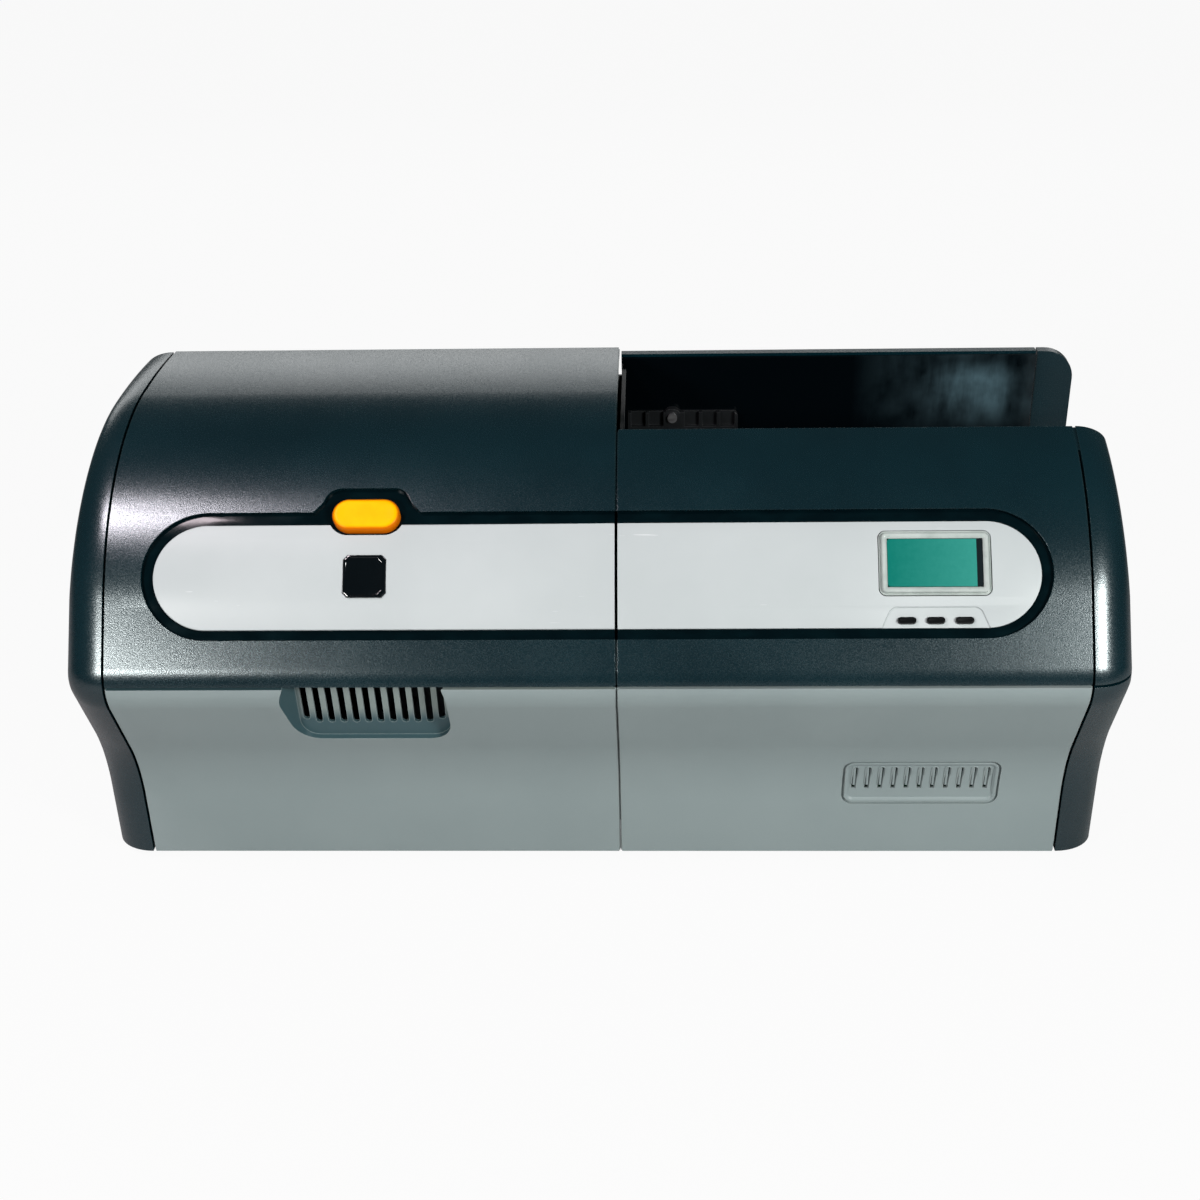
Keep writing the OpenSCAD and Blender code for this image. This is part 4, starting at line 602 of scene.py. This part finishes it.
class Outline:
    """The body's outline seen from the side, as points of Y and Z."""

    def __init__(self):
        self.back = body_depth / 2
        front = -self.back
        self.base_front = front + base_setback
        run = crown_y - front - chin_radius
        self.crown_radius = (run ** 2 + chin_drop ** 2 - slope_run ** 2 - chin_radius ** 2) / (
            2 * (chin_drop - chin_radius))
        rise = chin_z - flare_z
        self.flare_radius = ((base_setback - chin_radius) ** 2 + rise ** 2 - flare_run ** 2
                             - chin_radius ** 2) / (2 * base_setback)
        self.crown = Vector((crown_y, body_height - self.crown_radius))
        self.rear = Vector((crown_y, body_height - rear_radius))
        self.chin = Vector((front + chin_radius, chin_z))
        self.flare = Vector((self.base_front - self.flare_radius, flare_z))
        self.up = run_angle(self.crown, self.chin, chin_radius - self.crown_radius)
        self.low = run_angle(self.chin, self.flare, -chin_radius - self.flare_radius)

    def points(self, inset, wall=0.0):
        """The outline drawn in by inset at the front and top, and by wall at the back and bottom."""
        def arc(centre, radius, start, end, steps):
            return [centre + radius * heading(start + (end - start) * i / steps) for i in range(steps + 1)]

        back, bottom = self.back - wall, foot_height + wall
        fall = math.degrees(math.asin((back - self.rear.x) / (rear_radius - inset)))
        return [
            Vector((back, bottom)), Vector((self.base_front + inset, bottom)),
            *arc(self.flare, self.flare_radius + inset, 0, self.low - 180, 22),
            *arc(self.chin, chin_radius - inset, self.low, self.up, 26),
            *arc(self.crown, self.crown_radius - inset, self.up, 90, 40),
            *arc(self.rear, rear_radius - inset, rear_start, 90 - fall, 8)]


outline = Outline()


def front_y(z):
    """Where the body's front is at a height under the chin."""
    points = outline.points(0)[1:]
    for low, high in zip(points, points[1:]):
        if low.y <= z <= high.y:
            return low.x + (high.x - low.x) * (z - low.y) / (high.y - low.y)
    return points[0].x


def leaned(place):
    """The x of a side cover's point once the cover leans in towards its top, with a soft knee."""
    untouched, straight = -8, 30
    taken = max(0.0, place.z - (body_height - lean_drop)) * (side_lean / lean_drop)
    knee = 0.4 * taken + 0.001 * mm
    over = (place.x - (half_width - taken)) / knee
    if over <= untouched:
        return place.x
    return place.x - knee * (math.log1p(math.exp(over)) if over < straight else over)


def side_cover_form(side):
    """A side cover: its outline rounded over to the outside, with the hollow behind its wall."""
    inner = half_width - side_cover + seam / 2
    cavity = half_width - side_lean - shell
    hollow = outline.points(round_depth - 4 * mm, shell)
    rings = [[(x, *p) for p in hollow] for x in (cavity, inner)]
    steps = 22
    for i in range(steps + 1):
        turn = math.radians(90 * i / steps)
        across = inner + (half_width - inner) * math.sin(turn)
        rings.append([(across, *p) for p in outline.points(round_depth * (1 - math.cos(turn)))])
    form = loft(rings)
    for vertex in form.verts:
        vertex.co.x = side * leaned(vertex.co)
    return form


def side_covers():
    publish("left_side_smooth", side_cover_form(-1), "left_side_cover")
    upper = side_cover_form(1)
    trimmed(upper, (0, 0, chin_z + seam_rise + seam / 2), (0, 0, -1))
    trimmed(upper, (0, rim_y, 0), (0, 1, 0))
    round_edges(publish("right_upper_side_smooth", upper, "right_upper_side_cover"), soft_edge)


def seam_gasket():
    """A dark gasket in the upper side cover's seam, where the seam runs out into the well."""
    middle, half_thick, sunk = half_width - side_cover, 0.9 * mm, 1.0 * mm
    run, lowest = 20 * mm, 0.24
    path = outline.points(sunk, shell)
    form = loft([[(x, *p) for p in path] for x in (middle - half_thick, middle + half_thick)])
    for place, normal in (
            ((0, rim_y - run, 0), (0, -1, 0)), ((0, rim_y, 0), (0, 1, 0)), ((0, 0, lowest), (0, 0, -1))):
        trimmed(form, place, normal)
    fitting("seam_gasket", form, "right_upper_side_cover")


# ---------- band ----------

band_middle_x = seat_of("left_band", band_out)[0].translation.x
band_ends = (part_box("left_band")[0][0] - band_middle_x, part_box("right_band")[1][0] - band_middle_x)


def on_rim(spot, half):
    """Whether a place in the band's plane is on the band's own outline."""
    left, right = band_ends
    along = max(left + half - spot.x, spot.x - (right - half), 0.0)
    return math.hypot(along, spot.y) > half - rim_margin


def band(node):
    """A band whose outer rim rolls over broadly, with a soft recess round the keys and crisp openings."""
    form = node_form(node)
    place, size = seat_of("left_band", band_out)
    inward = place.inverted()
    half = size[1] / 2 - rim_inset
    corners = [inward @ Vector(corner) for key in (key_row[0], key_row[-1]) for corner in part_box(key)]
    row_middle = sum(spot.x for spot in corners) / len(corners)
    row_half = max(abs(spot.x - row_middle) for spot in corners)
    row_top = max(spot.y for spot in corners)

    def by_recess(spots):
        """Whether an edge is near the row of keys, but isn't in one of the keys' own openings."""
        beside = max(abs(spot.x - row_middle) - row_half for spot in spots)
        above = max(spot.y for spot in spots) - row_top
        return beside < recess_reach and above < recess_rise and max(beside, above) > key_margin

    def sorted_edges():
        """The band's rim, the recess's rim, and the recess's upright corners."""
        rim, recess, upright = [], [], []
        for edge in form.edges:
            if len(edge.link_faces) != 2:
                continue
            spots = [inward @ vertex.co for vertex in edge.verts]
            leans = [face.normal.dot(band_out) for face in edge.link_faces]
            if max(leans) > faces_out and abs(min(leans)) < stands_up:
                if on_rim(spots[0], half) and on_rim(spots[1], half):
                    rim.append(edge)
                elif by_recess(spots):
                    recess.append(edge)
            elif max(abs(lean) for lean in leans) < stands_up and by_recess(spots):
                if min(spot.y for spot in spots) > row_top + key_margin:
                    upright.append(edge)
        return rim, recess, upright

    def rounded(edges, width, segments):
        bmesh.ops.bevel(
            form, geom=edges, offset=width, segments=segments, profile=0.5, affect="EDGES",
            clamp_overlap=True)

    upright = sorted_edges()[2]
    if upright:
        rounded(upright, recess_corner, 5)
        rounded(sorted_edges()[1], recess_radius, 3)
    rounded(sorted_edges()[0], rim_radius, 5)
    # The rim's bevel can run past the seam, so each half is held within its own node's width
    low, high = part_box(node)
    for vertex in form.verts:
        vertex.co.x = min(max(vertex.co.x, low[0]), high[0])
    softened(node, form, crisp_radius)


# ---------- display, button, keys and badge ----------

def display_frame():
    """The milky frame: a low rim, a gutter, then a raised border that slopes to the window."""
    profile = [
        (0.35, -4.1), (0.35, -2.9), (0.65, -2.5), (1.2, -2.45), (1.4, -2.8), (1.75, -2.75), (2.0, -0.7),
        (2.5, -0.1), (3.4, 0.0), (4.3, -0.25), (5.2, -0.95), (5.6, -1.35), (5.65, -6.0)]
    rings = stepped("display_bezel", band_out, profile, 5 * mm)
    publish("display_frame", loft(rings, caps=False), "display_bezel")


def latch_cap():
    """The button: upright sides, a soft shoulder and a faintly dished face, on a square stem."""
    profile = [
        (0, -11.6), (0, -2.1), (0.25, -1.5), (0.8, -0.85), (1.6, -0.3), (2.4, -0.05), (3.6, 0.0),
        (6.0, -0.15), (9.0, -0.22)]
    stem_width, stem_length, stem_middle = 8 * mm, 14 * mm, -17.6 * mm
    form = loft(stepped("latch_button", latch_out, profile, steps=14))
    place = seat_of("latch_button", latch_out)[0]
    for vertex in bmesh.ops.create_cube(form, size=1.0)["verts"]:
        x, y, z = vertex.co
        vertex.co = place @ Vector((x * stem_width, y * stem_width, z * stem_length + stem_middle))
    publish("latch_cap", form, "latch_button")


def key_caps():
    """The keys: stadiums with a soft shoulder and a faintly dished top."""
    for node in key_row:
        depth = seat_of(node, band_out)[1][2] / mm
        profile = [(0, -depth), (0, -0.7), (0.15, -0.3), (0.5, -0.05), (1.0, 0.0), (1.7, -0.1)]
        publish(node + "_cap", loft(stepped(node, band_out, profile, steps=8)), node)


def badge_plate():
    """A plain black plate with cut corners, a raised rim and a sunk field."""
    place, size = seat_of("badge", band_out)
    profile = [(0, -2.2), (0, -0.7), (0.25, -0.25), (0.7, 0.0), (1.5, 0.0), (1.9, -0.35), (2.2, -0.45)]
    cut = [(0.0, 1.0), (0.35, 0.75), (0.75, 0.35), (1.0, 0.0)]    # in shares of the notch
    rings = []
    for inset, level in profile:
        half = size[0] / 2 - inset * mm
        notch = (3.0 + 0.2 * inset) * mm
        bow = [(half - across * notch, half - up * notch) for across, up in cut]
        ring = []
        for sx, sy in ((1, 1), (-1, 1), (-1, -1), (1, -1)):
            ring += [(sx * x, sy * y) for x, y in (bow if sx * sy > 0 else reversed(bow))]
        rings.append([place @ Vector((x, y, level * mm)) for x, y in ring])
    publish("badge_plate", loft(rings), "badge")


# ---------- vent ----------

def vent_frame():
    """Flat border of the vent that rolls down to its floor."""
    profile = [
        (1.7, 1.4), (1.7, 0.2), (1.95, 0.0), (3.2, 0.0), (3.6, 0.12), (4.1, 0.5), (4.5, 1.0), (5.1, 1.4)]
    rings = []
    for inset, depth in profile:
        wide, high = vent_length - 2 * inset * mm, vent_height - 2 * inset * mm
        ring = rounded_ring(wide, high, max(vent_corner - inset * mm, 2.5 * mm), 12)
        rings.append([(vent_x + x, front_y(vent_z + z) + depth * mm, vent_z + z) for x, z in ring])
    fitting("vent_frame", loft(rings, caps=False), "right_front_panel")


def blade(form, middle):
    """The blade in a slot of the vent, bowed so that both its ends sink in."""
    section = [(-1.35, 2.5), (-1.35, 0.2), (-1.10, 0.0), (0.05, 0.0), (0.30, 0.2), (-0.40, 2.5)]
    top, reach, steps = 0.47, 0.83, 14    # top and reach in shares of the slot's height
    sunk, bow = 0.45 * mm, 0.5 * mm
    rows = []
    for step in range(steps + 1):
        z = vent_z + slot_rise + slot_height * (top - reach * step / steps)
        swell = bow * (1 - math.cos(math.pi * min(step, steps - step) / steps))
        y = front_y(z) + vent_depth + sunk - swell
        rows.append([form.verts.new((middle + x * mm, y + depth * mm, z)) for x, depth in section])
    skin(form, rows)


def ridge(form, middle):
    """A fine hooped bead round a slot of the vent, thinner at its ends."""
    half, bottom, hoop = 2.3 * mm, -7 * mm, 8.4 * mm
    up_step, down_step, radius, end_share = 1.8 * mm, 1.6 * mm, 0.45 * mm, 0.35
    base = vent_z + slot_rise
    path = [(middle - half, base + bottom + up_step * k) for k in range(8)]
    for degrees in range(165, -1, -15):
        turn = heading(degrees) * half
        path.append((middle + turn.x, base + hoop + turn.y))
    path += [(middle + half, base + hoop - down_step * k) for k in range(1, 5)]
    rows = []
    for k, (x, z) in enumerate(path):
        before, after = path[max(k - 1, 0)], path[min(k + 1, len(path) - 1)]
        along = Vector((after[0] - before[0], 0, after[1] - before[1])).normalized()
        across, proud = Vector((along.z, 0, -along.x)), Vector((0, -1.2, 0))
        centre = Vector((x, front_y(z) + vent_depth, z))
        thick = radius * (end_share if k in (0, len(path) - 1) else 1.0)
        rows.append([
            form.verts.new(centre + thick * (across * turn.x + proud * turn.y))
            for turn in (heading(degrees) for degrees in range(-30, 211, 40))])
    skin(form, rows)


def vent_louvres():
    """A blade in each slot of the vent, under a fine hooped ridge."""
    louvres = bmesh.new()
    for slot in vent_slots:
        middle = vent_x + slot * slot_pitch
        blade(louvres, middle)
        ridge(louvres, middle)
    fitting("vent_louvres", louvres, "right_front_panel", 40)


# ---------- where a piece has a second finish ----------

def in_scoop(place, normal):
    """Whether a face belongs to the scoop's hollow, and not to the panel's face or its back."""
    near = scoop_left < place.x < scoop_right and scoop_bottom < place.z < scoop_top
    return near and normal.y < back_lean and place.y > front_y(place.z) + scoop_sunk


def on_ear(place, normal):
    """Whether a face belongs to the ear that stands behind the well."""
    return place.y > body_depth / 2 - ear_depth and place.z > ear_bottom


def on_well_end(place, normal):
    """Whether a face is one of the well's end walls."""
    return abs(normal.x) > end_lean


side_covers()
for node, width in edge_width.items():
    softened(node, node_form(node), width)
band("left_band")
band("right_band")
second_finish("left_front_panel_softened", "scoop_grey_and_shade", in_scoop)
second_finish("right_side_cover_softened", "rear_plastic", on_ear)
second_finish("well_liner_softened", "well_end", on_well_end)
seam_gasket()
vent_frame()
vent_louvres()
display_frame()
latch_cap()
key_caps()
badge_plate()


# ---------- camera, light and floor ----------

# The photo's camera, fitted to the body's outline; its focal length is in the photo's pixels, its sensor
# and lens in mm
photo_width, focal_length, sensor_width, nearest_seen = 1200.0, 1746.2, 36.0, 0.05
camera_place = (0.040968, -1.104639, 0.791709)
camera_right = Vector((0.99947695, 0.0255806, -0.01978535))
camera_down = Vector((-0.00446614, -0.49676055, -0.86787615))
camera_forward = Vector((-0.03202937, 0.86751057, -0.49638648))

# Place, aim, width, height, power and colour of each lamp
lamps = {
    "left_window": ((-0.85, -1.24, 0.80), (-0.15, -0.08, 0.2), 0.32, 0.2, 12, (1.0, 0.98, 0.96)),
    "right_window": ((1.02, -1.12, 0.9), (0.15, -0.08, 0.2), 0.42, 0.2, 21.5, (1.0, 1.0, 0.98)),
    "back_glow": ((-0.1, 1.9, 0.74), (-0.05, 0.05, 0.3), 3.4, 0.5, 9.5, (1.0, 1.0, 1.0)),
    "high_left": ((-0.78, -0.4, 1.54), (-0.31, -0.07, 0.26), 0.32, 0.28, 11, (1.0, 0.86, 0.92)),
}

white, sky_colour, sky_strength = (1.0, 1.0, 1.0, 1.0), (0.75, 0.97, 1.0, 1.0), 0.07
# The floor's half size and place, and the share of plain white in what the camera sees of it
floor_half, floor_z, floor_whiteness = 6.0, -0.4 * mm, 0.94


def camera():
    thing = bpy.data.objects.new("camera", bpy.data.cameras.new("camera"))
    bpy.context.scene.collection.objects.link(thing)
    turn = Matrix((camera_right, -camera_down, -camera_forward)).transposed().to_4x4()
    thing.matrix_world = Matrix.Translation(camera_place) @ turn
    thing.data.sensor_width = sensor_width
    thing.data.lens = sensor_width * focal_length / photo_width
    thing.data.clip_start = nearest_seen
    bpy.context.scene.camera = thing


def lamp(name, place, aim, width, height, power, colour):
    data = bpy.data.lights.new(name, "AREA")
    data.shape = "RECTANGLE"
    data.size = width
    data.size_y = height
    data.energy = power
    data.color = colour
    thing = bpy.data.objects.new(name, data)
    bpy.context.scene.collection.objects.link(thing)
    thing.location = place
    thing.rotation_euler = (Vector(aim) - Vector(place)).to_track_quat("-Z", "Y").to_euler()


def sky():
    """Dim cool light from all round, which the camera sees as plain white."""
    world = bpy.data.worlds.new("sky")
    bpy.context.scene.world = world
    world.use_nodes = True
    nodes = Nodes(world.node_tree)
    dim = nodes.tree.nodes["Background"]
    nodes.join(sky_colour, dim.inputs["Color"])
    nodes.join(sky_strength, dim.inputs["Strength"])
    plain = nodes.node("ShaderNodeBackground", None, {"Color": white, "Strength": 1.0})
    seen = nodes.node("ShaderNodeLightPath", out="Is Camera Ray")
    choice = nodes.node("ShaderNodeMixShader", None, {0: seen, 1: Wire(nodes, dim.outputs[0]), 2: plain})
    nodes.show(choice, "World Output")


def floor():
    """Grey paper that keeps the object's shadow, and that the camera sees as nearly white."""
    sheet = bmesh.new()
    bmesh.ops.create_grid(sheet, x_segments=1, y_segments=1, size=floor_half)
    data = bpy.data.meshes.new("floor")
    sheet.to_mesh(data)
    sheet.free()
    thing = bpy.data.objects.new("floor", data)
    thing.location.z = floor_z
    bpy.context.scene.collection.objects.link(thing)
    paper = Finish("paper", base_color=(0.42, 0.42, 0.42), roughness=0.9, specular=0.2)
    glow = paper.node("ShaderNodeEmission", None, {"Color": white, "Strength": 1.0})
    share = paper.node("ShaderNodeLightPath", out="Is Camera Ray") * floor_whiteness
    matt = Wire(paper, paper.shader.outputs[0])
    paper.show(paper.node("ShaderNodeMixShader", None, {0: share, 1: matt, 2: glow}), "Material Output")
    dress(thing, paper.material)


bpy.context.scene.view_settings.view_transform = "Standard"
camera()
for name, settings in lamps.items():
    lamp(name, *settings)
sky()
floor()
